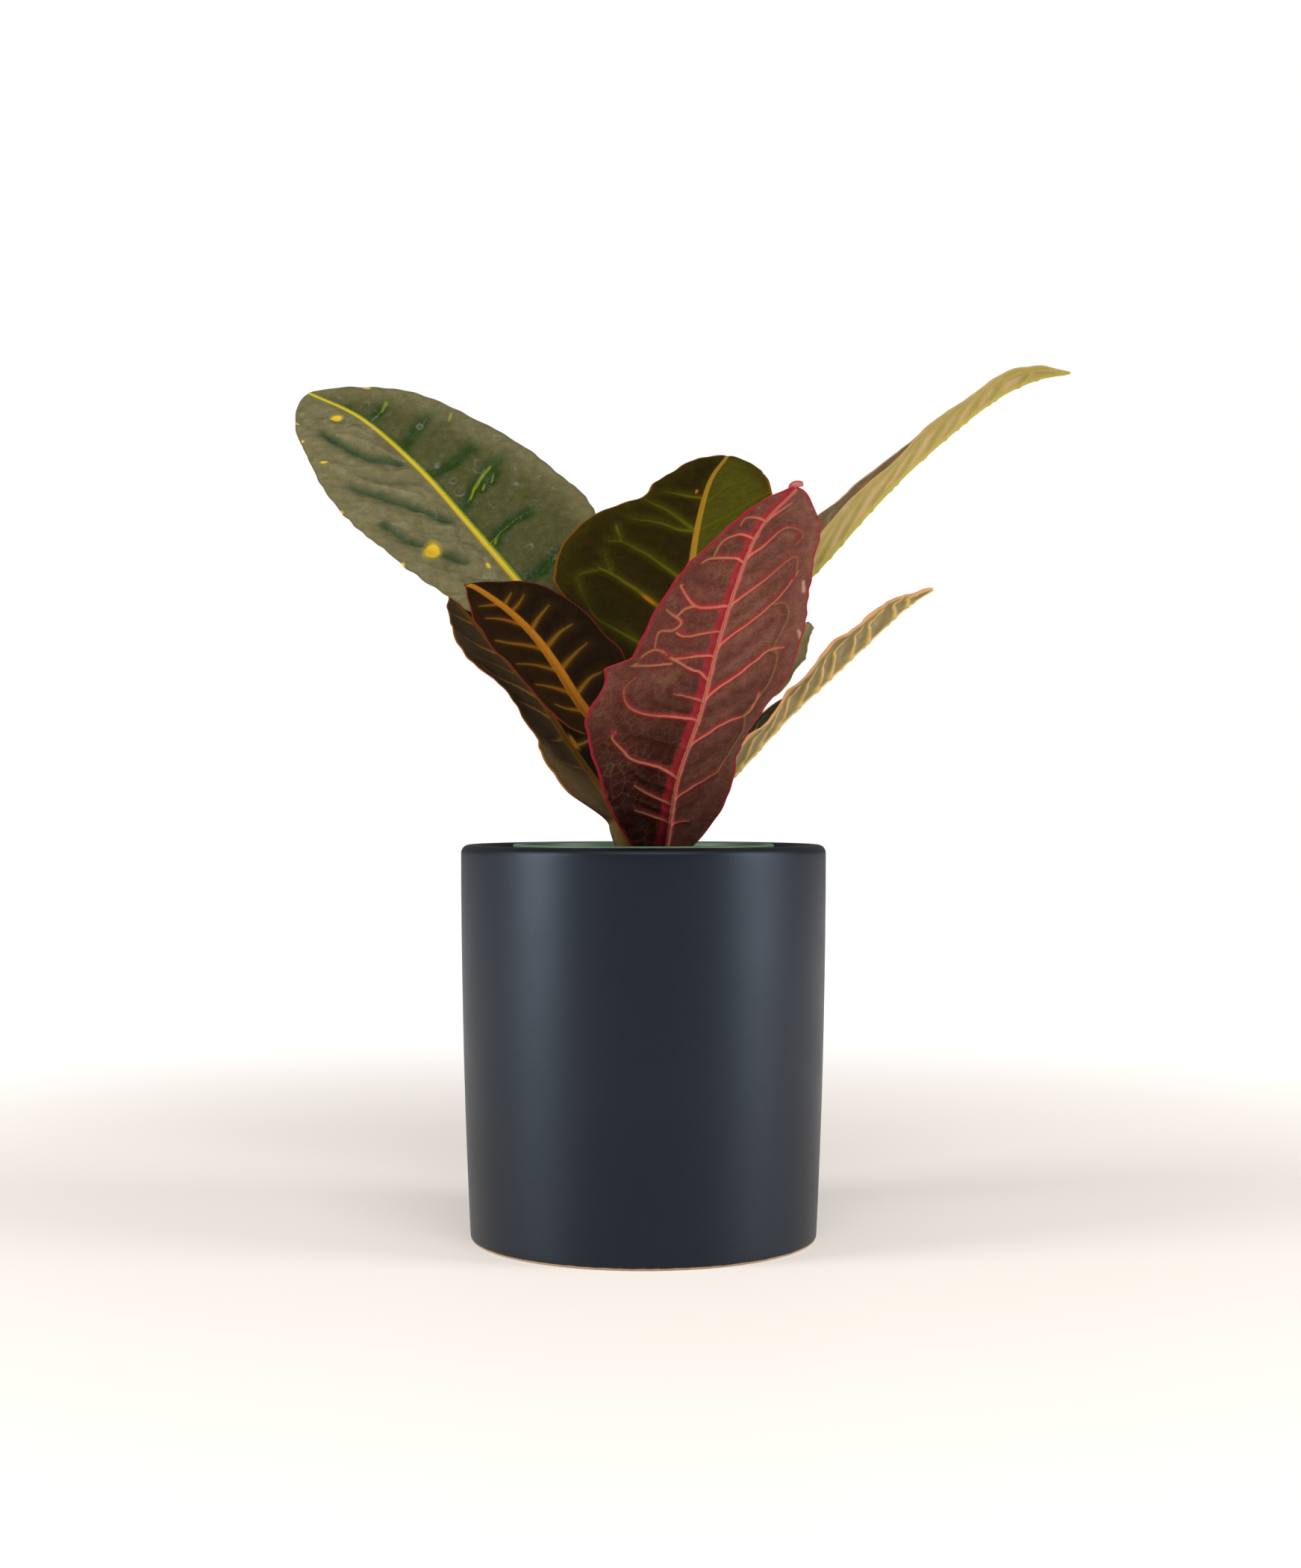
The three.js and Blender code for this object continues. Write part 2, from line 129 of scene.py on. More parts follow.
def ripple(x: np.ndarray, y: np.ndarray, size: float, seed: int) -> np.ndarray:
    """Make smooth uneven ripples in a plane, from a few crossing waves.

    Args:
        x: First coordinate.
        y: Second coordinate.
        size: Typical distance between two crests.
        seed: Seed of the waves' directions and starts.

    Returns:
        Heights of about -1 to 1.
    """
    draw = np.random.default_rng(seed)
    total = np.zeros(np.broadcast(x, y).shape)
    waves = 7
    shortest, longest = 0.7, 1.5
    for _ in range(waves):
        angle, start = draw.uniform(0, FULL_TURN, 2)
        turns = FULL_TURN / (size * draw.uniform(shortest, longest))
        total += np.sin(turns * (x * math.cos(angle) + y * math.sin(angle)) + start)
    return total / math.sqrt(2 * waves)


class Curve:
    """A smooth curve through points, read by distance along it."""

    SAMPLES = 3000

    def __init__(self, points: tuple[Point, ...]) -> None:
        """Trace the curve.

        Args:
            points: The points that it passes through.
        """
        knots = np.array(points, float)
        self.places = spline(knots, np.linspace(0, len(knots) - 1, self.SAMPLES))
        steps = np.linalg.norm(np.diff(self.places, axis=0), axis=1)
        self.run = np.concatenate([[0], np.cumsum(steps)])
        ways = np.gradient(self.places, self.run, axis=0)
        self.ways = ways / np.linalg.norm(ways, axis=1, keepdims=True)

    @property
    def length(self) -> float:
        """Length of the whole curve."""
        return float(self.run[-1])

    def at(self, distance: np.ndarray) -> tuple[np.ndarray, np.ndarray]:
        """Read places and directions of travel.

        Args:
            distance: Distances along the curve.

        Returns:
            The places and the unit directions, each with a last axis of three.
        """
        place, way = (
            np.stack([np.interp(distance, self.run, rows[:, k]) for k in range(3)], -1)
            for rows in (self.places, self.ways)
        )
        return place, way / np.linalg.norm(way, axis=-1, keepdims=True)


def unit(vectors: np.ndarray) -> np.ndarray:
    """Scale vectors to length one."""
    return vectors / np.linalg.norm(vectors, axis=-1, keepdims=True)


def ring_faces(rings: int, count: int) -> np.ndarray:
    """List the quads between rings of points that follow each other.

    Args:
        rings: Number of rings.
        count: Points in each ring.

    Returns:
        Corner numbers, four to a row, ring by ring.
    """
    start = np.arange(rings - 1)[:, None] * count
    here = np.arange(count)[None, :]
    after = (here + 1) % count
    corners = np.stack([start + here, start + after, start + count + after, start + count + here], -1)
    return corners.reshape(-1, 4)


def make_object(name: str, places: np.ndarray, faces: list, materials: list) -> bpy.types.Object:
    """Make a smooth-shaded mesh object from places in millimetres.

    Args:
        name: The piece's name.
        places: One row of three coordinates for each vertex.
        faces: Vertex numbers of each face.
        materials: Materials for the object's slots.

    Returns:
        The object, linked to the scene.
    """
    mesh = bpy.data.meshes.new(name)
    mesh.from_pydata((places * MM).tolist(), [], faces)
    for material in materials:
        mesh.materials.append(material)
    return place_mesh(name, mesh)


def linked(name: str, data: bpy.types.ID) -> bpy.types.Object:
    """Make an object and link it to the scene.

    Args:
        name: Its name.
        data: Its mesh, light or camera.

    Returns:
        The object.
    """
    made = bpy.data.objects.new(name, data)
    bpy.context.scene.collection.objects.link(made)
    return made


def place_mesh(name: str, mesh: bpy.types.Mesh) -> bpy.types.Object:
    """Shade a mesh smoothly and put it into the scene.

    Args:
        name: The piece's name.
        mesh: The mesh.

    Returns:
        The object.
    """
    mesh.polygons.foreach_set("use_smooth", [True] * len(mesh.polygons))
    mesh.update()
    return linked(name, mesh)


def ring_object(name: str, rings: np.ndarray, material: bpy.types.Material) -> bpy.types.Object:
    """Make a closed solid from rings of points, the first and the last filled in.

    Args:
        name: The piece's name.
        rings: The rings, each of as many points.
        material: Its material.

    Returns:
        The object, with its faces pointing out.
    """
    count, points = rings.shape[:2]
    faces = ring_faces(count, points).tolist()
    faces.append(list(range(points)))
    faces.append([(count - 1) * points + k for k in reversed(range(points))])
    piece = make_object(name, rings.reshape(-1, 3), faces, [material])
    turn_out(piece.data)
    return piece


def seat(piece: bpy.types.Object, slot: str, *nodes: str) -> None:
    """Fix a piece to the part and hide the solids that it replaces.

    Args:
        piece: The piece.
        slot: Not used.
        nodes: Names of the solids that it replaces.
    """
    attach(piece, "root")
    if nodes:
        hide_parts(*nodes)
    LOG.info("%s: %d faces", piece.name, len(piece.data.polygons))


class Sum(Enum):
    """What a step of a material works out from its numbers."""

    ADD = "ADD"
    SUBTRACT = "SUBTRACT"
    MULTIPLY = "MULTIPLY"
    MULTIPLY_ADD = "MULTIPLY_ADD"
    ABSOLUTE = "ABSOLUTE"


class Cells(Enum):
    """What a cell pattern measures: the distance from the nearest edge, or from a cell's middle."""

    EDGE = "DISTANCE_TO_EDGE"
    MIDDLE = "F1"


class Graph:
    """A material's node graph, with a call for each kind of step."""

    def __init__(self, name: str, roughness: float = 0.5) -> None:
        """Start a material.

        Args:
            name: Its name.
            roughness: The roughness all over, unless a step is linked to it later.
        """
        self.material = bpy.data.materials.new(name)
        self.material.use_nodes = True
        self.tree = self.material.node_tree
        self.shader = next(node for node in self.tree.nodes if node.type == "BSDF_PRINCIPLED")
        self.roughness(roughness)

    def node(self, kind: str, inputs: dict | None = None, **settings: object) -> bpy.types.Node:
        """Add a node.

        Args:
            kind: Its type.
            inputs: Steps or values for its inputs, by name or number.
            **settings: Its properties.

        Returns:
            The node.
        """
        made = self.tree.nodes.new(kind)
        for key, value in settings.items():
            setattr(made, key, value)
        for key, value in (inputs or {}).items():
            self.put(made.inputs[key], value)
        return made

    def put(self, socket: Socket, value: object) -> None:
        """Link a step to a socket, or set the socket's own value.

        Args:
            socket: The socket.
            value: The step or the value.
        """
        if isinstance(value, bpy.types.NodeSocket):
            self.tree.links.new(value, socket)
        else:
            socket.default_value = value

    def math(self, operation: Sum, *values: object) -> Socket:
        """Work out one sum from sockets or numbers."""
        return self.node("ShaderNodeMath", dict(enumerate(values)), operation=operation.value).outputs[0]

    def scale(self, value: object, factor: object, offset: object) -> Socket:
        """Multiply a value by a factor and add an offset."""
        return self.math(Sum.MULTIPLY_ADD, value, factor, offset)

    def times(self, *values: object) -> Socket:
        """Multiply several values."""
        return reduce(partial(self.math, Sum.MULTIPLY), values)

    def step(self, value: Socket, low: object, high: object) -> Socket:
        """Give 0 at low, 1 at high and a smooth step between. High may lie below low."""
        inputs = {"Value": value, "From Min": low, "From Max": high}
        return self.node("ShaderNodeMapRange", inputs, interpolation_type="SMOOTHSTEP").outputs["Result"]

    def blend(self, share: object, first: object, second: object) -> Socket:
        """Mix two colours."""
        return self.node("ShaderNodeMix", {0: share, 6: first, 7: second}, data_type="RGBA").outputs[2]

    def apart(self, vector: Socket) -> list[Socket]:
        """Take a vector apart into three numbers."""
        return list(self.node("ShaderNodeSeparateXYZ", {0: vector}).outputs)

    def attribute(self, name: str) -> list[Socket]:
        """Read a mesh attribute as three numbers."""
        return self.apart(self.node("ShaderNodeAttribute", attribute_name=name).outputs["Vector"])

    def vector(self, x: object, y: object, z: object = 0.0) -> Socket:
        """Join three numbers."""
        return self.node("ShaderNodeCombineXYZ", {0: x, 1: y, 2: z}).outputs[0]

    def place(self) -> Socket:
        """Give the point on the object, in metres."""
        return self.node("ShaderNodeTexCoord").outputs["Object"]

    def stretched(self, where: Socket, factor: float) -> Socket:
        """Scale a place along Z, to draw out or press together a pattern read from it."""
        return self.node("ShaderNodeMapping", {"Vector": where, "Scale": (1, 1, factor)}).outputs[0]

    def noise(self, where: Socket, size: float, detail: float = 3.0, rough: float = 0.55) -> Socket:
        """Give soft noise from 0 to 1, with patches of about the given size in the vector's unit."""
        inputs = {"Vector": where, "Scale": 1 / size, "Detail": detail, "Roughness": rough}
        return self.node("ShaderNodeTexNoise", inputs).outputs["Fac"]

    def cells(self, where: Socket, size: float, feature: Cells) -> bpy.types.Node:
        """Add a cell pattern with cells of about the given size."""
        return self.node("ShaderNodeTexVoronoi", {"Vector": where, "Scale": 1 / size}, feature=feature.value)

    def bump(self, height: Socket, distance: float, strength: float = 1.0) -> None:
        """Raise the surface by a height, in metres."""
        made = self.node("ShaderNodeBump", {"Strength": strength, "Distance": distance, "Height": height})
        self.put(self.shader.inputs["Normal"], made.outputs["Normal"])

    def colour(self, value: object) -> None:
        """Set or link the base colour."""
        self.put(self.shader.inputs["Base Color"], value)

    def roughness(self, value: object) -> None:
        """Set or link the roughness."""
        self.put(self.shader.inputs["Roughness"], value)

    def shade(self, colour: object, factor: object) -> Socket:
        """Make a colour darker or lighter by a factor."""
        made = self.node("ShaderNodeVectorMath", {"Vector": colour, "Scale": factor}, operation="SCALE")
        return made.outputs["Vector"]


class Face(Graph):
    """The graph of one face of a leaf, with what it reads at each point and the colour painted so far.

    x and y are the place on the blade, edge the distance from the blade's edge and vein that from the nearest
    vein's edge, all in millimetres. across runs from -1 to 1, along is the share of the blade, relief the
    quilting's level and left 1 on the left half. wobble makes painted edges ragged.
    """

    FINE_PATCH = 0.9
    PATCH = 3.2
    BROAD_PATCH = 16.0
    WOBBLE = 0.7
    MIDDLE_BLUR = 0.03

    def __init__(self, name: str, look: LeafFinish) -> None:
        """Start the material, read the fields and paint the quilting.

        Args:
            name: The material's name.
            look: The look of the face.
        """
        super().__init__(name, look.roughness)
        self.x, self.y, self.edge = self.attribute("leaf_place")
        self.across, self.along, self.relief = self.attribute("leaf_share")
        self.vein, self.vein_half, self.tone = self.attribute("leaf_veins")
        self.spot, self.glow, _ = self.attribute("leaf_marks")
        self.flat = self.vector(self.x, self.y)
        self.fine = self.noise(self.flat, self.FINE_PATCH, 4.0)
        self.patch = self.noise(self.flat, self.PATCH, 4.0, 0.65)
        self.broad = self.noise(self.flat, self.BROAD_PATCH, 3.0)
        self.left = self.step(self.across, self.MIDDLE_BLUR, -self.MIDDLE_BLUR)
        self.away = self.math(Sum.ABSOLUTE, self.x)
        self.wobble = self.swing(self.WOBBLE * look.ragged)
        # The level picks valley in the creases and ridge on the puffs between. Where the ridge is the
        # lighter, this is partly painted shade in the creases and painted sheen on the puffs, over the
        # blade's own tones.
        lift = self.math(Sum.ADD, self.relief, self.scale(self.broad, 1.3, -0.65))
        self.painted = self.blend(self.step(lift, -0.55, 0.65), look.valley, look.ridge)

    def swing(self, height: float) -> Socket:
        """Give fine noise of a height, half of it below 0."""
        return self.scale(self.fine, height, -0.5 * height)

    def cover(self, share: object, tint: object) -> None:
        """Paint a colour over what is there, where the share is above 0."""
        self.painted = self.blend(share, self.painted, tint)


@dataclass(frozen=True)
class Tint:
    """A colour that goes over a part of a blade, and how strongly."""

    colour: Colour
    strength: float


@dataclass(frozen=True)
class LeafFinish:
    """The painted look of one face of a leaf. Widths and reaches are in millimetres.

    valley and ridge colour the quilting by its level; where the ridge is the lighter, this is partly painted
    shade in the creases and painted sheen on the puffs. A vein goes from vein to vein_end, in a fringe of
    halo, and a fold takes the crest colour, a painted highlight along the fold's top. beside is a band along
    the midrib, on the left and on the right half. net is a web of fine veins. Each tint goes over a part of
    the blade: its left or right half, its rim or its root. On some leaves a half's tint paints sheen, on
    others shade, as said where each is set.
    The dust strength lays dust specks and a broad pale film, which is painted sheen.
    """

    valley: Colour
    ridge: Colour
    vein: Colour
    vein_end: Colour
    midrib: Colour
    halo: Colour
    margin: Colour
    # crest colours each fold: a painted highlight along the fold's top.
    crest_highlight: Colour = paint(146, 130, 118)
    groove: Colour | None = None
    midrib_root: Colour | None = None
    vein_strength: float = 0.9
    vein_soft: float = 0.6
    halo_width: float = 2.5
    halo_strength: float = 0.4
    midrib_width: tuple[float, float] = (2.4, 1.0)
    beside: tuple[Colour, Colour] | None = None
    beside_width: tuple[float, float] = (2.0, 1.0)
    beside_left: float = 1.0
    margin_width: float = 0.9
    net: Colour = paint(110, 105, 60)
    net_strength: float = 0.0
    net_cell: float = 5.0
    left: Tint | None = None
    right: Tint | None = None
    rim: Tint | None = None
    rim_reach: float = 17.0
    root: Tint | None = None
    root_reach: float = 0.85
    root_left: float = 1.0
    spot: Colour = paint(225, 200, 60)
    # Strength and colour of the dust specks and of a broad pale film, which is painted sheen.
    dust_and_sheen: float = 0.25
    dust_and_sheen_colour: Colour = paint(165, 160, 150)
    marks: float = 0.0
    film: float = 0.55
    mottle: float = 0.5
    grain: float = 1.0
    ragged: float = 1.0
    roughness: float = 0.5
    shine: float = 0.25

    ROOT_FADE = 0.45
    NET_WARP = (1.2, 1.5)
    NET_LINE = 0.07
    BESIDE_STRENGTH = 0.9
    MIDRIB_BLUR = 0.25
    GROOVE_SHARE = 0.7
    SPOT_STRENGTH = 0.95
    SPOT_RIM_STRENGTH = 0.3
    FILM_PATCH = 7.0
    VEIL_PATCH = 0.7
    SPECK = 0.4
    DROP_CELL = 6.5
    DROP_RADIUS = 0.3
    DROP_LINE = 0.07
    PORE_CELL = 1.5
    PORE_LINE = 0.12
    GRAIN_PATCH = 0.5
    GRAIN_HEIGHT = 0.03
    FILM_ROUGHNESS = 0.16

    def build(self, name: str) -> bpy.types.Material:
        """Make the material from the fields that a leaf's mesh carries.

        Args:
            name: The material's name.

        Returns:
            The material.
        """
        face = Face(name, self)
        face.shader.inputs["Specular IOR Level"].default_value = self.shine
        for layer in (self.tinted, self.netted, self.veined, self.ribbed, self.edged, self.spotted):
            layer(face)
        film = self.lay_dust_and_sheen(face)
        face.colour(face.painted)
        face.roughness(face.scale(film, self.FILM_ROUGHNESS, self.roughness))
        if self.grain:
            web = face.cells(face.flat, self.PORE_CELL, Cells.EDGE).outputs["Distance"]
            grain = face.times(face.noise(face.flat, self.GRAIN_PATCH, 3.0), 0.6)
            height = face.scale(face.step(web, 0.0, self.PORE_LINE), 0.5, grain)
            face.bump(height, self.GRAIN_HEIGHT * MM, 0.6 * self.grain)
        return face.material

    def tinted(self, face: Face) -> None:
        """Tint the halves, the rim and the root, and mottle the whole.

        Args:
            face: The face to paint.
        """
        # A half's tint is painted light on some leaves: sheen on the green leaf's left half, shade on the
        # golden-veined leaf's right half, and shade and light on the red leaf's two halves.
        patch = face.scale(face.broad, 0.9, 0.55)
        right = face.math(Sum.SUBTRACT, 1.0, face.left)
        for tint, half in ((self.left, face.left), (self.right, right)):
            if tint:
                face.cover(face.times(half, patch, tint.strength), tint.colour)
        if self.rim:
            ragged = face.scale(face.broad, 14.0, face.edge)
            near = face.step(ragged, self.rim_reach, 0.4 * self.rim_reach)
            face.cover(face.times(near, self.rim.strength), self.rim.colour)
        if self.root:
            ragged = face.scale(face.broad, 0.3, face.along)
            low = face.step(ragged, self.root_reach, self.root_reach - self.ROOT_FADE)
            half = face.scale(face.left, self.root_left - 1.0, 1.0)
            face.cover(face.times(low, half, self.root.strength), self.root.colour)
        uneven = face.math(Sum.ADD, face.swing(0.7), face.math(Sum.SUBTRACT, face.patch, 0.5))
        face.painted = face.shade(face.painted, face.scale(uneven, self.mottle * 2, 1.0))

    def netted(self, face: Face) -> None:
        """Draw the web of the finest veins.

        Args:
            face: The face to paint.
        """
        if not self.net_strength:
            return
        sideways, upwards = self.NET_WARP
        x, y = face.scale(face.fine, sideways, face.x), face.scale(face.broad, upwards, face.y)
        web = face.cells(face.vector(x, y), self.net_cell, Cells.EDGE).outputs["Distance"]
        line = face.step(web, self.NET_LINE, 0.0)
        face.cover(face.times(line, self.net_strength, face.step(face.broad, 0.35, 0.7)), self.net)

    def veined(self, face: Face) -> None:
        """Paint the fringes, the band beside the midrib, and the veins and folds themselves.

        Args:
            face: The face to paint.
        """
        fringe = face.step(face.math(Sum.ADD, face.vein, face.wobble), self.halo_width, 0.0)
        face.cover(face.times(fringe, face.glow, self.halo_strength), self.halo)
        if self.beside:
            start, end = self.beside_width
            wide = face.scale(face.along, end - start, start)
            if self.beside_left != 1.0:
                wide = face.times(wide, face.scale(face.left, self.beside_left - 1.0, 1.0))
            ragged = face.scale(face.wobble, 2.0, face.away)
            band = face.step(ragged, face.times(wide, 1.35), face.times(wide, 0.6))
            tint = face.blend(face.left, self.beside[1], self.beside[0])
            face.cover(face.times(band, self.BESIDE_STRENGTH), tint)
        rough = face.scale(face.wobble, 0.3, face.vein)
        outside, inside = (face.times(face.vein_half, blur) for blur in (self.vein_soft, -self.vein_soft))
        line = face.step(rough, outside, inside)
        painted = face.blend(face.tone, self.vein, self.vein_end)
        # Folds take the crest colour, a painted highlight along the fold's top.
        painted = face.blend(face.step(face.tone, 0.2 * FOLD_TONE, 0.8 * FOLD_TONE), painted, self.crest_highlight)
        face.cover(face.times(line, self.vein_strength), painted)

    def ribbed(self, face: Face) -> None:
        """Paint the midrib, and the groove along its middle.

        Args:
            face: The face to paint.
        """
        start, end = self.midrib_width
        half = face.scale(face.along, 0.5 * (end - start), 0.5 * start)
        ragged = face.scale(face.wobble, 0.5, face.away)
        outside = face.math(Sum.ADD, half, self.MIDRIB_BLUR)
        inside = face.math(Sum.SUBTRACT, half, self.MIDRIB_BLUR)
        middle = self.midrib
        if self.midrib_root:
            middle = face.blend(face.step(face.along, 0.5, 0.0), self.midrib, self.midrib_root)
        face.cover(face.step(ragged, outside, inside), middle)
        if self.groove:
            line = face.step(ragged, face.times(half, self.GROOVE_SHARE), 0.0)
            face.cover(face.times(line, face.step(face.along, 0.0, 0.04)), self.groove)

    def edged(self, face: Face) -> None:
        """Paint the margin."""
        ragged = face.scale(face.wobble, 0.6 * self.margin_width, face.edge)
        face.cover(face.step(ragged, self.margin_width * 1.4, self.margin_width * 0.4), self.margin)

    def spotted(self, face: Face) -> None:
        """Paint the spots, each in a faint rim.

        Args:
            face: The face to paint.
        """
        dotted = face.scale(face.wobble, 0.35, face.spot)
        for low, high, strength in ((1.6, 1.0, self.SPOT_RIM_STRENGTH), (1.1, 0.8, self.SPOT_STRENGTH)):
            face.cover(face.times(face.step(dotted, low, high), strength), self.spot)

    def lay_dust_and_sheen(self, face: Face) -> Socket:
        """Lay dust specks, dried water marks, and a broad pale film that is painted sheen, over the blade.

        Args:
            face: The face to paint.

        Returns:
            How thick the film lies.
        """
        specks = face.step(face.noise(face.flat, self.SPECK, 2.0), 0.68, 0.76)
        film = face.step(face.noise(face.flat, self.FILM_PATCH, 5.0, 0.7), 0.42, 0.8)
        veil = face.step(face.noise(face.flat, self.VEIL_PATCH, 4.0, 0.75), 0.35, 0.8)
        # The specks are dust; the broad pale film is painted sheen.
        haze = face.scale(specks, 1.5, face.times(film, veil, self.film))
        face.cover(face.times(haze, self.dust_and_sheen), self.dust_and_sheen_colour)
        if self.marks:
            drops = face.cells(face.flat, self.DROP_CELL, Cells.MIDDLE)
            off = face.math(Sum.SUBTRACT, drops.outputs["Distance"], self.DROP_RADIUS)
            ring = face.step(face.math(Sum.ABSOLUTE, off), self.DROP_LINE, 0.0)
            chosen = face.node("ShaderNodeSeparateColor", {0: drops.outputs["Color"]}).outputs[0]
            ring = face.times(ring, face.step(chosen, 0.45, 0.7), film)
            face.cover(face.times(ring, self.marks), self.dust_and_sheen_colour)
        return film


class Kind(Enum):
    """What a vein is: a line in a crease of the blade, or a fold that stands up from it."""

    CREASE = "crease"
    FOLD = "fold"


@dataclass(frozen=True)
class Vein:
    """A vein of a blade.

    path holds its bends as (share of the blade, millimetres to the right of the midrib). width is that of its
    start and its end. tone is 0 for the finish's vein colour and 1 for its end colour, at the start and the
    end. glow is how strongly its fringe shows, and weight how strongly it shows itself: 1 in full, -0.3 as a
    faint trace.
    """

    path: Path
    width: tuple[float, float] = (1.2, 0.5)
    tone: tuple[float, float] = (0.0, 1.0)
    glow: float = 1.0
    weight: float = 1.0
    kind: Kind = Kind.CREASE

    @classmethod
    def fold(cls, path: Path, width: tuple[float, float], weight: float) -> Vein:
        """Make a fold, which takes the crest colour, a painted highlight along the fold's top, and has no
        fringe.
        """
        return cls(path, width, (FOLD_TONE, FOLD_TONE), 0.0, weight, Kind.FOLD)

    @classmethod
    def fleck(cls, path: Path, width: tuple[float, float], weight: float) -> Vein:
        """Make a bright fleck along a vein, in the end colour and without a fringe."""
        return cls(path, width, (1.0, 1.0), 0.0, weight)

    def at(self, parts: np.ndarray) -> np.ndarray:
        """Give the share and the place across, a row for each part of the way along the smoothed path."""
        return np.stack([smooth_list(values, parts) for values in zip(*self.path)], -1)


@dataclass(frozen=True)
class Ribs:
    """The side ribs of one half of a leaf.

    origins are where they leave the midrib, as shares of the blade. sweep is how far towards the tip they
    end, and bend how late they turn that way.
    """

    origins: tuple[float, ...] = ()
    sweep: float = 0.16
    bend: float = 1.2
    width: tuple[float, float] = (1.2, 0.4)
    tone: tuple[float, float] = (0.0, 0.6)

    REACH = (0.0, 0.2, 0.4, 0.6, 0.76)
    ARCH = 0.6
    ARCH_REACH = 0.88

    @classmethod
    def even(cls, count: int, sweep: float = 0.16, bend: float = 1.2, **looks: object) -> Ribs:
        """Space a number of ribs evenly, a little wider towards the tip.

        Args:
            count: Number of ribs.
            sweep: How far towards the tip they end.
            bend: How late they turn that way.
            **looks: Their width and tone.

        Returns:
            The ribs.
        """
        first, span, widening = 0.05, 0.88, 1.1
        shares = np.linspace(0, 1, count) ** widening
        return cls(tuple(first + span * shares), sweep, bend, **looks)


@dataclass(frozen=True)
class Spot:
    """A painted spot or streak.

    share and across say where it lies. length and width are its half sizes in millimetres, and turn is in
    degrees.
    """

    share: float
    across: float
    length: float
    width: float
    turn: float = 0.0


@dataclass(frozen=True)
class Lobe:
    """A part of the right edge that stands out and ends in a notch, fading towards the root."""

    at: float
    length: float
    out: float
    notch: float = 0.012


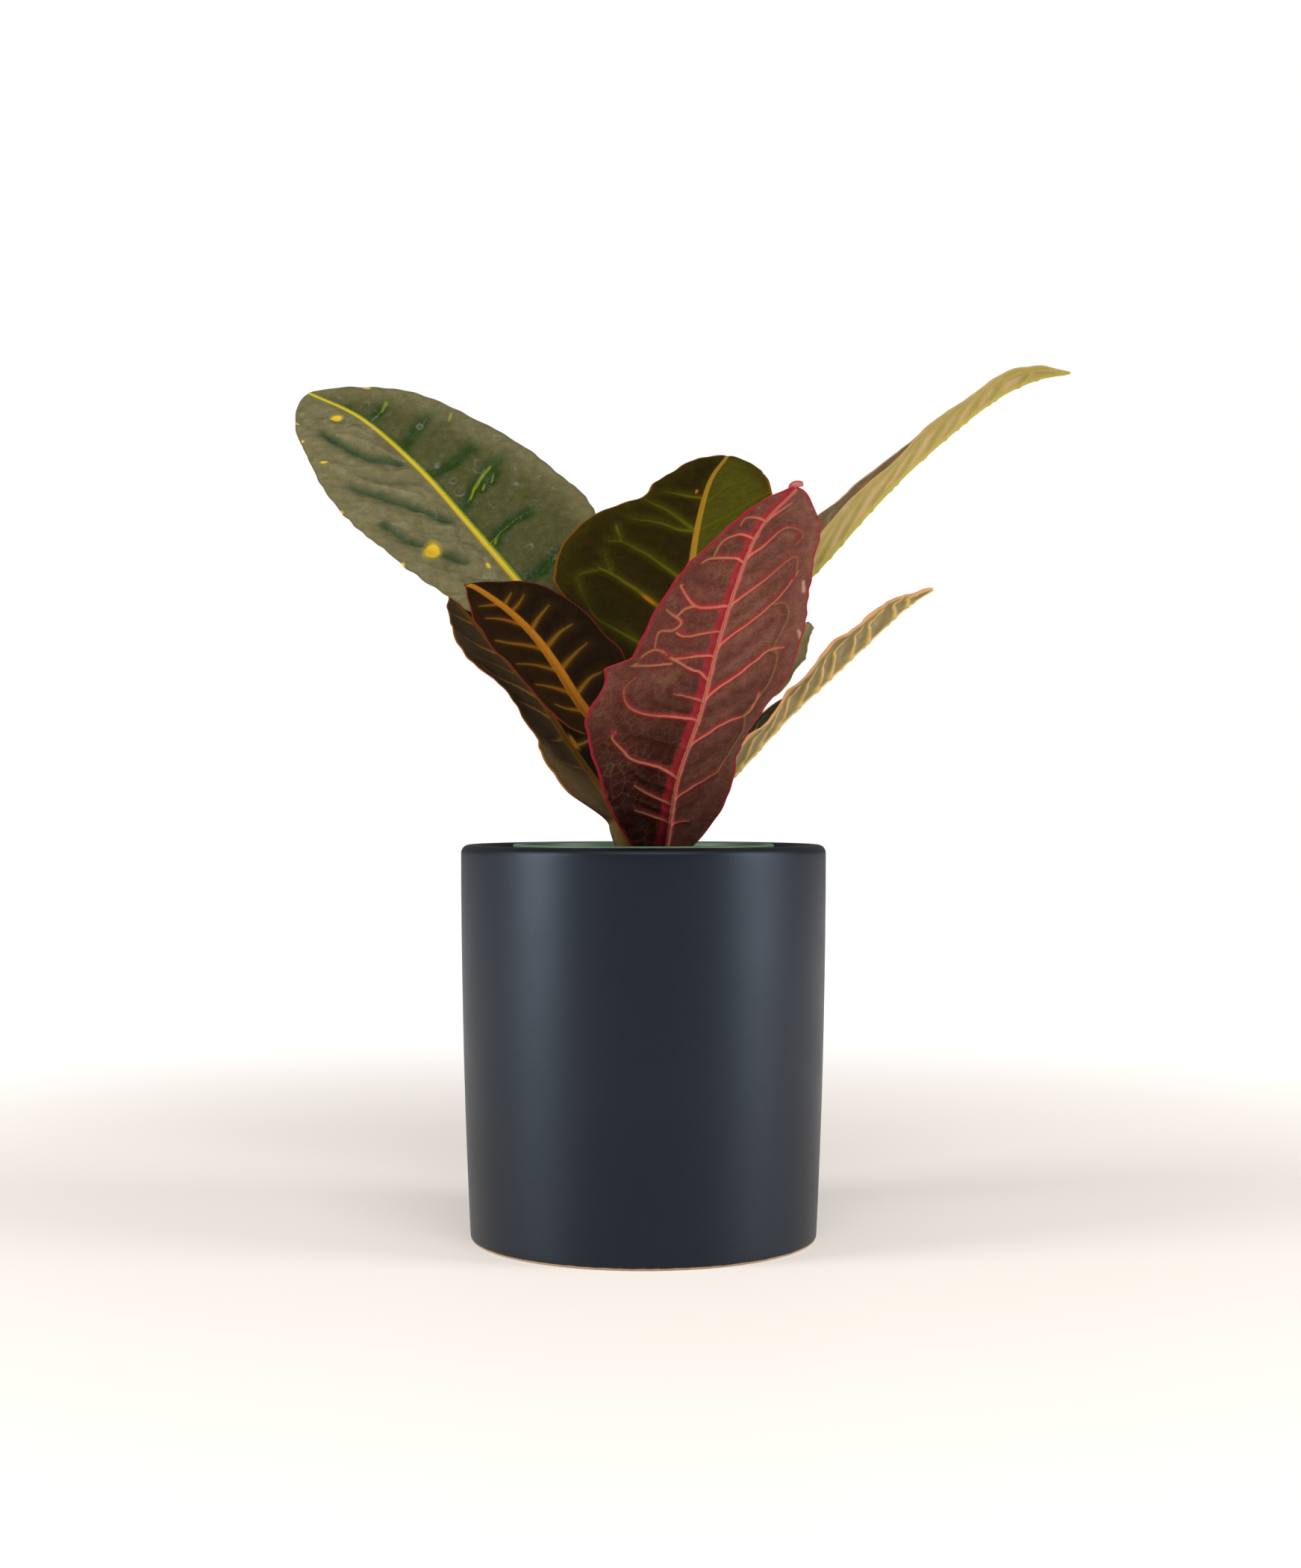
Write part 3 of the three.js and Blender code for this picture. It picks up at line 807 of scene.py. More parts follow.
@dataclass
class Leaf:
    """One leaf with its stalk.

    The midrib, the widths to its left and right, the facing at root and tip, the rise of its halves in
    degrees and the wave (height and count) are those of its solid. Without a right the two halves are alike.
    quilt is the height of each half's quilting. Without ribs only the given veins are drawn.
    """

    name: str
    slot: str
    midrib: tuple[Point, ...]
    petiole: float
    left: tuple[float, ...]
    facing: tuple[Point, Point]
    rise: tuple[float, float]
    wave: tuple[float, float]
    upper: LeafFinish
    under: LeafFinish
    right: tuple[float, ...] = ()
    ribs: tuple[Ribs, Ribs] = (Ribs(), Ribs())
    quilt: tuple[float, float] = (0.5, 0.5)
    lobe: Lobe | None = None
    veins: tuple[Vein, ...] = ()
    spots: tuple[Spot, ...] = ()
    rows: int = 260
    columns: int = 44
    seed: int = 1
    ruffle: float = 0.25
    between: float = 0.0
    thickness: float = 0.7
    petiole_radius: float = 1.7
    keel: float = 1.2
    blend: float = 9.0
    whole: bool = True
    curve: Curve = field(init=False)

    TIP_ROUND = 0.1
    ROOT_ROUND = 0.07
    THINNEST = 0.35
    EDGE_UNEVEN = (0.28, 9.0)
    RUFFLE_SIZE = 7.0
    SIDE_LAG = 2.2
    BLEND_BEFORE = 0.3
    PUFF_SPAN = 7.0
    FINE_QUILT = (0.16, 4.5)
    BROAD_QUILT = (0.2, 14.0)
    VEIN_STEPS = 3
    FAR_OFF = 50.0
    NO_SPOT = 9.0
    GLOW_LOSS = 0.8
    FOLD_HEIGHT = 0.7
    FOLD_WIDTH = 1.3
    STALK_STEP = 1.5
    STALK_FACE = 84
    EDGE_THINNING = 0.4
    EDGE_ROUND = 0.6
    KEEL_WIDTH = (1.5, 0.8)
    GROOVE = (0.35, 0.9)
    CREASE_WIDTH = 0.8
    CREASE_DEPTH = (0.16, 0.3)
    OFF_BLADE = 6.0

    def __post_init__(self) -> None:
        """Trace the midrib."""
        self.curve = Curve(self.midrib)
        self.right = self.right or self.left

    @property
    def blade(self) -> float:
        """Length of the blade along its midrib."""
        return self.curve.length - self.petiole

    def half_width(self, share: np.ndarray, across: np.ndarray) -> np.ndarray:
        """Give the half-width of the blade.

        Args:
            share: Places along the blade.
            across: Negative on the left half and positive on the right half.

        Returns:
            The half-width in millimetres.
        """
        tip = np.clip((share - (1 - self.TIP_ROUND)) / self.TIP_ROUND, 0, 1)
        root = np.clip((self.ROOT_ROUND - share) / self.ROOT_ROUND, 0, 1)
        rounding = np.sqrt(1 - tip**2) * np.sqrt(1 - root**2)
        width = np.where(across < 0, smooth_list(self.left, share), smooth_list(self.right, share))
        run = share * self.blade
        height, size = self.EDGE_UNEVEN
        width = width + height * ripple(run, 40 * np.sign(across), size, self.seed)
        if self.lobe:
            reach = np.clip((share - self.lobe.at + self.lobe.length) / self.lobe.length, 0, 1)
            fall = np.clip((self.lobe.at + self.lobe.notch - share) / self.lobe.notch, 0, 1)
            width = width + np.where(across > 0, self.lobe.out * reach**2 * fall, 0)
        return np.maximum(self.THINNEST, width * rounding)

    def swept(self, row: np.ndarray, across: np.ndarray) -> np.ndarray:
        """Bend rows of points so that they follow the side ribs.

        Args:
            row: Where each row leaves the midrib, as a share of the blade.
            across: Place across the blade, from -1 to 1.

        Returns:
            The share along the blade at each point.
        """
        lean = (1 - row) ** 0.8 * (1 - (1 - row) ** 8)
        sweep = np.where(across < 0, self.ribs[0].sweep, self.ribs[1].sweep)
        bend = np.where(across < 0, self.ribs[0].bend, self.ribs[1].bend)
        return row + sweep * lean * np.abs(across) ** bend

    def all_veins(self) -> list[Vein]:
        """List the veins: those given, and the ribs of a half, each ending in an arch to the next.

        Returns:
            The veins.
        """
        found = list(self.veins)
        for ribs, sign in zip(self.ribs, (-1.0, 1.0)):
            far = np.array(ribs.REACH)
            origins = [*ribs.origins, 1.0]
            for origin, after in zip(origins, origins[1:]):
                share = self.swept(np.full(len(far), origin), sign * far)
                across = sign * far * self.half_width(share, sign * np.ones(len(far)))
                end = share[-1] + ribs.ARCH * (after - origin)
                bow = sign * ribs.ARCH_REACH * self.half_width(np.array([end]), np.array([sign]))
                path = [*zip(share.tolist(), across.tolist()), (float(end), float(bow[0]))]
                found.append(Vein(tuple(path), ribs.width, ribs.tone))
        return found + (self.minor_veins() if self.between else [])

    def minor_veins(self) -> list[Vein]:
        """Run a faint vein midway between each two neighbours that leave the midrib on the same side.

        Returns:
            The faint veins.
        """
        found = []
        root_reach, end, weight = 1, 0.8, -0.2
        for sign in (-1, 1):
            ours = [vein for vein in self.veins if sign * vein.path[-1][1] > 0]
            main = [vein for vein in ours if abs(vein.path[0][1]) < root_reach]
            main.sort(key=lambda vein: vein.path[0][0])
            parts = np.linspace(0.0, end, 5)
            for lower, upper in zip(main, main[1:]):
                path = 0.5 * (lower.at(parts) + upper.at(parts))
                found.append(Vein.fleck(tuple(map(tuple, path)), (self.between, self.between), weight))
        return found

    def vein_fields(self, x: np.ndarray, y: np.ndarray) -> dict[str, np.ndarray]:
        """Measure how far each point lies from the nearest vein.

        Args:
            x: Distance to the right of the midrib in millimetres.
            y: Distance along the blade in millimetres.

        Returns:
            Distance to the vein's edge, its half width, its tone and its glow, and the distances to the
            middle of the nearest crease and of the nearest fold.
        """
        near = {key: np.zeros(x.shape) for key in ("half", "tone", "glow")}
        near.update({key: np.full(x.shape, self.FAR_OFF) for key in ("edge", *(kind.value for kind in Kind))})
        for vein in self.all_veins():
            smooth = vein.at(np.linspace(0, 1, self.VEIN_STEPS * (len(vein.path) - 1) + 1))
            bends = np.stack([smooth[:, 1], smooth[:, 0] * self.blade], -1)
            steps = np.linalg.norm(np.diff(bends, axis=0), axis=1)
            run = np.concatenate([[0], np.cumsum(steps)]) / steps.sum()
            for k, step in enumerate(steps):
                way = (bends[k + 1] - bends[k]) / step
                dx, dy = x - bends[k, 0], y - bends[k, 1]
                along = np.clip((dx * way[0] + dy * way[1]) / step, 0, 1)
                away = np.hypot(dx - along * step * way[0], dy - along * step * way[1])
                part = between((run[k], run[k + 1]), along)
                half = 0.5 * between(vein.width, part)
                near[vein.kind.value] = np.minimum(near[vein.kind.value], away)
                edge = away - half * vein.weight
                closer = edge < near["edge"]
                tone = between(vein.tone, part)
                glow = vein.glow * (1 - self.GLOW_LOSS * part)
                for key, value in (("edge", edge), ("half", half), ("tone", tone), ("glow", glow)):
                    near[key] = np.where(closer, value, near[key])
        return near

    def relief(
        self, row: np.ndarray, across: np.ndarray, x: np.ndarray, y: np.ndarray
    ) -> dict[str, np.ndarray]:
        """Work out the quilting between the veins.

        Args:
            row: Where each row leaves the midrib.
            across: Place across the blade.
            x: Distance from the midrib in millimetres.
            y: Distance along the midrib in millimetres.

        Returns:
            The fields of the nearest vein, height in millimetres and level from -1 to 1.
        """
        fields = self.vein_fields(x, y)
        puff = np.sin(0.5 * math.pi * np.clip(fields["crease"] / self.PUFF_SPAN, 0, 1))
        fold = self.FOLD_HEIGHT * np.exp(-((fields["fold"] / self.FOLD_WIDTH) ** 2))
        quilt = np.where(across < 0, self.quilt[0], self.quilt[1])
        ends = smoothstep(row, 0.0, 0.1) * smoothstep(1 - row, 0.0, 0.08)
        hold = smoothstep(np.abs(x), 0.6, 6.0) * (1 - 0.6 * np.abs(across) ** 3) * ends
        minor = sum(
            height * ripple(x, y, size, self.seed + more)
            for (height, size), more in ((self.FINE_QUILT, 9), (self.BROAD_QUILT, 19))
        )
        fields["height"] = hold * (quilt * (puff - 0.5 + minor) + fold)
        fields["level"] = hold * (2 * puff - 1.0)
        return fields

    def spot_field(self, x: np.ndarray, y: np.ndarray) -> np.ndarray:
        """Measure how far each point lies from the nearest spot.

        Args:
            x: Distance from the midrib in millimetres.
            y: Distance along the blade in millimetres.

        Returns:
            The distance as a share of the spot's half size, 1 at its edge.
        """
        nearest = np.full(x.shape, self.NO_SPOT)
        for spot in self.spots:
            turn = math.radians(spot.turn)
            dx, dy = x - spot.across, y - spot.share * self.blade
            along = dy * math.cos(turn) + dx * math.sin(turn)
            beside = dx * math.cos(turn) - dy * math.sin(turn)
            nearest = np.minimum(nearest, np.hypot(along / spot.length, beside / spot.width))
        return nearest

    def surface(self, distance: np.ndarray, side: np.ndarray, up: np.ndarray) -> np.ndarray:
        """Place points beside and above the midrib.

        Args:
            distance: Distance along the midrib from the stem's axis.
            side: Distance to the right of it.
            up: Distance above it.

        Returns:
            Places in millimetres.
        """
        place, way = self.curve.at(distance)
        share = np.clip((distance - self.petiole) / self.blade, 0, 1)[..., None]
        first, last = (unit(np.array(facing, float)) for facing in self.facing)
        over = first * (1 - share) + last * share
        over = unit(over - way * np.sum(over * way, -1, keepdims=True))
        right = np.cross(way, over)
        return place + right * side[..., None] + over * up[..., None]

    def grid(self) -> tuple[np.ndarray, np.ndarray, np.ndarray]:
        """Lay out the points of one face, row by row from the stem to the tip.

        Returns:
            Where each point's row leaves the midrib, as a share of the blade, its place across the blade, and
            its distance along the midrib from the stem's axis.
        """
        steps = self.steps
        columns = np.sign(steps) * (0.75 * np.abs(steps) + 0.25 * np.abs(steps) ** 1.8)
        stalk_rows = max(10, int(self.petiole / self.STALK_STEP))
        even = np.linspace(0, 1, self.rows)
        eased = 0.5 - 0.5 * np.cos(math.pi * even)
        blade_rows = 0.7 * even + 0.3 * eased
        row = np.concatenate([np.zeros(stalk_rows), blade_rows])[:, None] + 0 * columns[None, :]
        across = 0 * row + columns[None, :]
        distance = self.petiole + self.swept(row, across) * self.blade
        distance[:stalk_rows] = np.linspace(0, self.petiole, stalk_rows, endpoint=False)[:, None]
        return row, across, distance

    @property
    def steps(self) -> np.ndarray:
        """Even steps across one face, from -1 to 1."""
        return np.linspace(-1, 1, 2 * self.columns + 1)

    def above(self, across: np.ndarray, share: np.ndarray, half: np.ndarray) -> np.ndarray:
        """Give the height of the blade over its midrib, without the quilting.

        Args:
            across: Place across the blade.
            share: Place along it.
            half: Its half-width there.

        Returns:
            The height in millimetres.
        """
        rise = np.radians(np.where(across < 0, *self.rise))
        height, count = self.wave
        turn = FULL_TURN * count * share + np.where(across < 0, self.SIDE_LAG, 0)
        waves = height * across**2 * np.sqrt(np.maximum(0, np.sin(math.pi * share))) * np.sin(turn)
        flare = ripple(share * self.blade, 30 * across, self.RUFFLE_SIZE, self.seed + 3)
        return half * np.abs(across) * np.sin(rise) + waves + self.ruffle * across**4 * flare

    def rings(self) -> dict[str, np.ndarray]:
        """Work out every point of the leaf, ring by ring, and the fields that paint it.

        Returns:
            The places and the mesh's four fields, by name.
        """
        row, across, distance = self.grid()
        share = self.swept(row, across)
        half = self.half_width(share, across)
        x = half * across
        y = share * self.blade
        fields = self.relief(row, across, x, y)
        above = self.above(across, share, half) + fields["height"]
        beside = x * np.cos(np.radians(np.where(across < 0, *self.rise)))

        blend_end = self.blend * (1 - self.BLEND_BEFORE)
        flat = smoothstep(distance - self.petiole, blend_end - self.blend, blend_end)
        radius = min(self.petiole_radius, 0.03 * self.curve.length)
        angle = np.radians(self.STALK_FACE) * self.steps[None, :]
        thick = 0.5 * self.thickness * (1 - self.EDGE_THINNING * np.abs(across) ** 6)
        keel_width = between(self.KEEL_WIDTH, share)
        keel = min(self.keel, radius) * (1 - 0.8 * share) * np.exp(-((x / keel_width) ** 2))
        groove_depth, groove_width = self.GROOVE
        groove = groove_depth * (1 - 0.6 * share) * np.exp(-((x / groove_width) ** 2))
        crease = np.exp(-((fields["crease"] / self.CREASE_WIDTH) ** 2)) * (1 - np.abs(across) ** 3)
        crease_over, crease_under = (depth * crease for depth in self.CREASE_DEPTH)
        sideways = radius * np.sin(angle) * (1 - flat) + beside * flat
        stalk = radius * np.cos(angle) * (1 - flat)
        top = stalk + (above + thick - groove - crease_over) * flat
        low = -stalk + (above - thick - keel - crease_under) * flat

        edge_out = 0.5 * self.thickness * self.EDGE_ROUND
        outs = []
        for column, sign in ((0, -1), (-1, 1)):
            out = flat[:, column] * (beside[:, column] + sign * edge_out)
            outs.append(out + sign * radius * (1 - flat[:, column]))
        places = self.surface(
            self.joined(distance),
            self.joined(sideways, sideways, *outs),
            self.joined(top, low, *(flat[:, column] * above[:, column] for column in (0, -1))),
        )
        off = self.OFF_BLADE * (1 - flat)
        layers = {
            "leaf_place": (x * flat, distance - self.petiole, (1 - np.abs(across)) * half + off),
            "leaf_share": (across, np.where(flat > 0, share, 0), fields["level"]),
            "leaf_veins": (fields["edge"] + off, fields["half"], fields["tone"]),
            "leaf_marks": (self.spot_field(x, y), fields["glow"], flat),
        }
        layers = {key: np.stack([self.joined(part) for part in parts], -1) for key, parts in layers.items()}
        return {"places": places, **layers}

    @staticmethod
    def joined(
        upper: np.ndarray, lower: np.ndarray | None = None, left: np.ndarray | None = None,
        right: np.ndarray | None = None,
    ) -> np.ndarray:
        """Join the values of the two faces and of the two edges between them into rings.

        Args:
            upper: Values of the upper face.
            lower: Values of the lower face, if they differ.
            left: Values of the left edge, if they differ from the upper face's first column.
            right: Values of the right edge, if they differ from its last column.

        Returns:
            The values in order round each ring.
        """
        lower = upper if lower is None else lower
        left = upper[:, 0] if left is None else left
        right = upper[:, -1] if right is None else right
        return np.concatenate([left[:, None], upper, right[:, None], lower[:, ::-1]], axis=1)

    def build(self) -> None:
        """Make the leaf's mesh with its fields, its bake map and its two finishes."""
        rings = self.rings()
        places = rings.pop("places")
        count, points = places.shape[:2]
        columns = (points - 2) // 2
        faces = ring_faces(count, points)
        ends = self.caps(count, points)
        materials = [self.upper.build(f"{self.name}_upper_face"), self.under.build(f"{self.name}_under_face")]
        piece = make_object(f"{self.name}_fine", places.reshape(-1, 3), faces.tolist() + ends, materials)
        mesh = piece.data
        for key, values in rings.items():
            layer = mesh.attributes.new(key, "FLOAT_VECTOR", "POINT")
            layer.data.foreach_set("vector", values.reshape(-1).astype(np.float32))
        is_under = (np.tile(np.arange(points), count - 1) > columns).astype(np.int32)
        slots = np.concatenate([is_under, np.zeros(len(ends), np.int32)])
        mesh.polygons.foreach_set("material_index", slots)
        self.unwrap(mesh, faces, is_under, (count, points, columns))
        mesh.update()
        turn_out(mesh)
        seat(piece, self.slot, *([self.name] if self.whole else []))

    @staticmethod
    def caps(count: int, points: int) -> list[list[int]]:
        """List the faces that close the root and the tip.

        Args:
            count: Number of rings.
            points: Points in each ring.

        Returns:
            Corner numbers of each face.
        """
        first, last = 0, (count - 1) * points
        ends = []
        for k in range(points // 2):
            a, b = k, k + 1
            c, d = (points - k - 1) % points, (points - k) % points
            ends.append([first + i for i in (a, d, c, b)])
            ends.append([last + i for i in (a, b, c, d)])
        ends = [list(dict.fromkeys(face)) for face in ends]
        return [face for face in ends if len(face) > 2]

    @staticmethod
    def unwrap(
        mesh: bpy.types.Mesh, faces: np.ndarray, is_under: np.ndarray, counts: tuple[int, int, int]
    ) -> None:
        """Lay the upper and the lower face side by side on the bake map.

        Args:
            mesh: The leaf's mesh.
            faces: Corners of the faces between the rings.
            is_under: 1 for each of those faces that lies underneath.
            counts: Number of rings, points in each ring and columns of points on one face.
        """
        count, points, columns = counts
        edge, wide, middle = 0.01, 0.47, 0.5
        layer = mesh.uv_layers.new(name=BAKE_MAP)
        spread = np.linspace(0, 1, columns + 2)
        upper = np.concatenate([edge + wide * spread, np.zeros(columns)])
        lower = np.zeros(points)
        lower[columns + 1 :] = 1 - edge - wide * spread[:-1]
        lower[0] = 1 - edge - wide
        ring, place = faces // points, faces % points
        sideways = np.where(is_under[:, None] == 1, lower[place], upper[place])
        upwards = edge + (1 - 2 * edge) * ring / (count - 1)
        uv = np.stack([sideways, upwards], -1).reshape(-1, 2)
        spare = np.tile([middle, middle], (len(mesh.loops) - len(uv), 1))
        layer.data.foreach_set("uv", np.vstack([uv, spare]).reshape(-1).astype(np.float32))


def turn_out(mesh: bpy.types.Mesh) -> None:
    """Turn a closed mesh's faces round if they point in.

    Args:
        mesh: The mesh.
    """
    work = bmesh.new()
    work.from_mesh(mesh)
    if work.calc_volume(signed=True) < 0:
        bmesh.ops.reverse_faces(work, faces=work.faces[:])
        work.to_mesh(mesh)
    work.free()
    mesh.update()


def revolve(name: str, profile: list[tuple[float, float]], sides: int, materials: list) -> bpy.types.Object:
    """Turn a closed profile round the Z axis into a smooth solid.

    Args:
        name: The piece's name.
        profile: Radius and height of each point, the first and last on the axis.
        sides: Steps round the axis.
        materials: Materials for the object's slots.

    Returns:
        The object.
    """
    angles = np.linspace(0, FULL_TURN, sides, endpoint=False)
    inner = profile[1:-1]
    rings = np.array([[(r * math.cos(a), r * math.sin(a), z) for a in angles] for r, z in inner])
    places = np.vstack([rings.reshape(-1, 3), [[0, 0, profile[0][1]], [0, 0, profile[-1][1]]]])
    faces = ring_faces(len(inner), sides).tolist()
    low, high = len(places) - 2, len(places) - 1
    last = (len(inner) - 1) * sides
    for k in range(sides):
        after = (k + 1) % sides
        faces.append([low, after, k])
        faces.append([high, last + k, last + after])
    piece = make_object(name, places, faces, materials)
    turn_out(piece.data)
    return piece


def corner(centre: tuple[float, float], radius: float, start: float, end: float, steps: int = 8) -> list:
    """Trace a round corner of a profile.

    Args:
        centre: Radius and height of the round's centre.
        radius: The round's radius.
        start: Direction of its first point, in degrees.
        end: Direction of its last point, in degrees.
        steps: Number of steps.

    Returns:
        Points of the profile.
    """
    angles = np.radians(np.linspace(start, end, steps + 1))
    return [(centre[0] + radius * math.cos(a), centre[1] + radius * math.sin(a)) for a in angles]


@dataclass(frozen=True)
class GlazeFinish:
    """Satin-matt dark glaze with fine grain, and bare clay at the foot."""

    glaze: Colour = paint(3, 5, 10)
    worn: Colour = paint(20, 26, 36)
    clay: Colour = paint(176, 148, 116)
    sheen_tint: Colour = (0.64, 0.79, 1.0, 1.0)
    shine: float = 0.42
    roughness: float = 0.41
    clay_roughness: float = 0.4
    clay_height: float = 1.0
    clay_blur: float = 0.15
    clay_uneven: float = 0.5
    cloud: float = 35
    cloud_strength: float = 0.16
    speck: float = 0.9
    speck_strength: float = 0.35
    grain: float = 0.6
    grain_height: float = 0.06

    def build(self) -> bpy.types.Material:
        """Make the material.

        Returns:
            The material.
        """
        graph = Graph("satin_glaze", self.roughness)
        graph.shader.inputs["Specular IOR Level"].default_value = self.shine
        graph.shader.inputs["Specular Tint"].default_value = self.sheen_tint
        place = graph.place()
        height = graph.apart(place)[2]
        cloud = graph.noise(place, self.cloud * MM, 4.0)
        speck = graph.noise(place, self.speck * MM, 3.0, 0.7)
        cloudy = graph.times(graph.step(cloud, 0.35, 0.8), self.cloud_strength)
        specked = graph.times(graph.step(speck, 0.62, 0.8), self.speck_strength)
        colour = graph.blend(specked, graph.blend(cloudy, self.glaze, self.worn), self.worn)
        ragged = graph.scale(graph.noise(place, 4 * MM, 2.0), self.clay_uneven * MM, height)
        low, high = ((self.clay_height + blur) * MM for blur in (-self.clay_blur, self.clay_blur))
        bare = graph.step(ragged, high, low)
        graph.colour(graph.blend(bare, colour, self.clay))
        dull = graph.scale(graph.step(cloud, 0.3, 0.7), 0.05, self.roughness)
        graph.roughness(graph.scale(bare, self.clay_roughness, dull))
        grain = graph.math(Sum.ADD, graph.noise(place, self.grain * MM, 3.0, 0.6), graph.times(cloud, 0.8))
        graph.bump(grain, self.grain_height * MM, 0.5)
        return graph.material


@dataclass
class CoverPot:
    """The ceramic cover pot: almost a cylinder, a little narrower at its foot, with a rounded rim."""

    height: float = 129
    top_radius: float = 60
    foot_flare: float = 3.2
    wall: float = 5.6
    floor: float = 7
    rim_round: float = 2.7
    foot_round: float = 1.4
    inside_round: float = 6
    sides: int = 200
    finish: GlazeFinish = field(default_factory=GlazeFinish)

    def radius(self, z: float) -> float:
        """Outside radius at a height."""
        return self.top_radius - self.foot_flare * ((self.height - z) / self.height) ** 2

    def build(self) -> None:
        """Make the pot."""
        heights = [float(z) for z in np.linspace(4, self.height - 5, 34)]
        foot = self.radius(self.foot_round) - self.foot_round
        top = self.height - self.rim_round
        rim = self.radius(top)
        corner_top = self.floor + self.inside_round
        inside = self.radius(corner_top) - self.wall
        profile = [(0, 0), (foot * 0.5, 0), (foot - 1.0, 0)]
        profile += corner((foot, self.foot_round), self.foot_round, -90, 0)
        profile += [(self.radius(z), z) for z in heights]
        profile += corner((rim - self.rim_round, top), self.rim_round, 0, 90, 12)
        profile += corner((rim - self.wall + self.rim_round, top), self.rim_round, 90, 180, 12)
        profile += [(self.radius(z) - self.wall, z) for z in reversed(heights) if z > corner_top]
        profile += corner((inside - self.inside_round, corner_top), self.inside_round, 0, -90)
        profile += [(inside * 0.5, self.floor), (0, self.floor)]
        piece = revolve("ceramic_pot_fine", profile, self.sides, [self.finish.build()])
        seat(piece, "glazed_ceramic_pot", "ceramic_pot")


@dataclass(frozen=True)
class PlasticFinish:
    """Thin green moulded plastic, slightly scuffed."""

    body: Colour = paint(84, 116, 88)
    scuff: Colour = paint(124, 148, 124)
    dirt: Colour = paint(70, 60, 45)
    scuff_strength: float = 0.5
    dirt_strength: float = 0.45
    streak: float = 9
    scuff_size: float = 12
    dirt_size: float = 6
    grain: float = 2
    grain_height: float = 0.05

    def build(self) -> bpy.types.Material:
        """Make the material.

        Returns:
            The material.
        """
        graph = Graph("green_plastic")
        place = graph.place()
        streak = graph.stretched(place, self.streak)
        worn = graph.noise(streak, self.scuff_size * MM, 4.0, 0.65)
        dirt = graph.noise(place, self.dirt_size * MM, 4.0, 0.7)
        scuffed = graph.times(graph.step(worn, 0.55, 0.8), self.scuff_strength)
        dirty = graph.times(graph.step(dirt, 0.6, 0.8), self.dirt_strength)
        graph.colour(graph.blend(dirty, graph.blend(scuffed, self.body, self.scuff), self.dirt))
        graph.roughness(graph.scale(worn, 0.25, 0.3))
        graph.bump(graph.noise(streak, self.grain * MM, 3.0), self.grain_height * MM, 0.5)
        return graph.material


@dataclass
class NurseryPot:
    """The plastic pot that the plant grows in, with a rolled collar and drainage holes."""

    pot: CoverPot
    rim_top: float = 129.2
    rim_radius: float = 43
    rim_depth: float = 9
    collar_step: float = 1.8
    collar_round: float = 0.6
    foot_radius: float = 33
    foot_round: float = 1.5
    inside_round: float = 2
    wall: float = 1.3
    hole_radius: float = 3.4
    hole_circle: float = 21
    holes: int = 5
    sides: int = 144
    finish: PlasticFinish = field(default_factory=PlasticFinish)

    @property
    def foot(self) -> float:
        """Height of its underside."""
        return self.pot.floor + GAP

    def outside(self, z: float) -> float:
        """Outside radius of the wall at a height."""
        share = (z - self.foot) / (self.rim_top - self.foot)
        return self.foot_radius + (self.rim_radius - self.collar_step - self.foot_radius) * share

    def build(self) -> None:
        """Make the pot."""
        collar = self.rim_top - self.rim_depth
        lip = self.rim_radius - self.wall
        bend = self.collar_round
        base = self.foot + self.wall + self.inside_round
        profile = [(0, self.foot), (self.outside(self.foot) - self.foot_round, self.foot)]
        profile += [(self.outside(z), z) for z in np.linspace(self.foot + self.foot_round, collar - 0.4, 16)]
        profile += [(self.outside(collar), collar), (self.rim_radius - bend, collar)]
        profile += corner((self.rim_radius - bend, collar + bend), bend, -80, 0, 5)
        profile += corner((self.rim_radius - bend, self.rim_top - bend), bend, 0, 90, 6)
        profile += corner((lip + 0.1, self.rim_top - bend), bend, 100, 180, 6)
        profile += [(self.outside(z) - self.wall, z) for z in np.linspace(collar + self.wall, base, 16)]
        profile += [(self.outside(self.foot) - self.wall - self.inside_round, self.foot + self.wall)]
        profile += [(0, self.foot + self.wall)]
        piece = revolve("nursery_pot_fine", profile, self.sides, [self.finish.build()])
        self.drain(piece)
        seat(piece, "nursery_plastic", "nursery_pot")

    def drain(self, piece: bpy.types.Object) -> None:
        """Cut the drainage holes out of the floor.

        Args:
            piece: The pot before its holes.
        """
        work = bmesh.new()
        radius = self.hole_radius * MM
        for k in range(self.holes):
            angle = FULL_TURN * k / self.holes
            place = Vector((math.cos(angle), math.sin(angle), 0)) * self.hole_circle * MM
            place.z = self.foot * MM
            bmesh.ops.create_cone(
                work, cap_ends=True, segments=24, radius1=radius, radius2=radius, depth=4 * self.wall * MM,
                matrix=Matrix.Translation(place),
            )
        mesh = bpy.data.meshes.new("drill")
        work.to_mesh(mesh)
        work.free()
        drill = linked("drill", mesh)
        cut = piece.modifiers.new("holes", "BOOLEAN")
        cut.operation = "DIFFERENCE"
        cut.object = drill
        cut.solver = "EXACT"
        bpy.context.view_layer.update()
        view = bpy.context.evaluated_depsgraph_get()
        drained = bpy.data.meshes.new_from_object(piece.evaluated_get(view))
        piece.modifiers.clear()
        piece.data = drained
        bpy.data.objects.remove(drill)


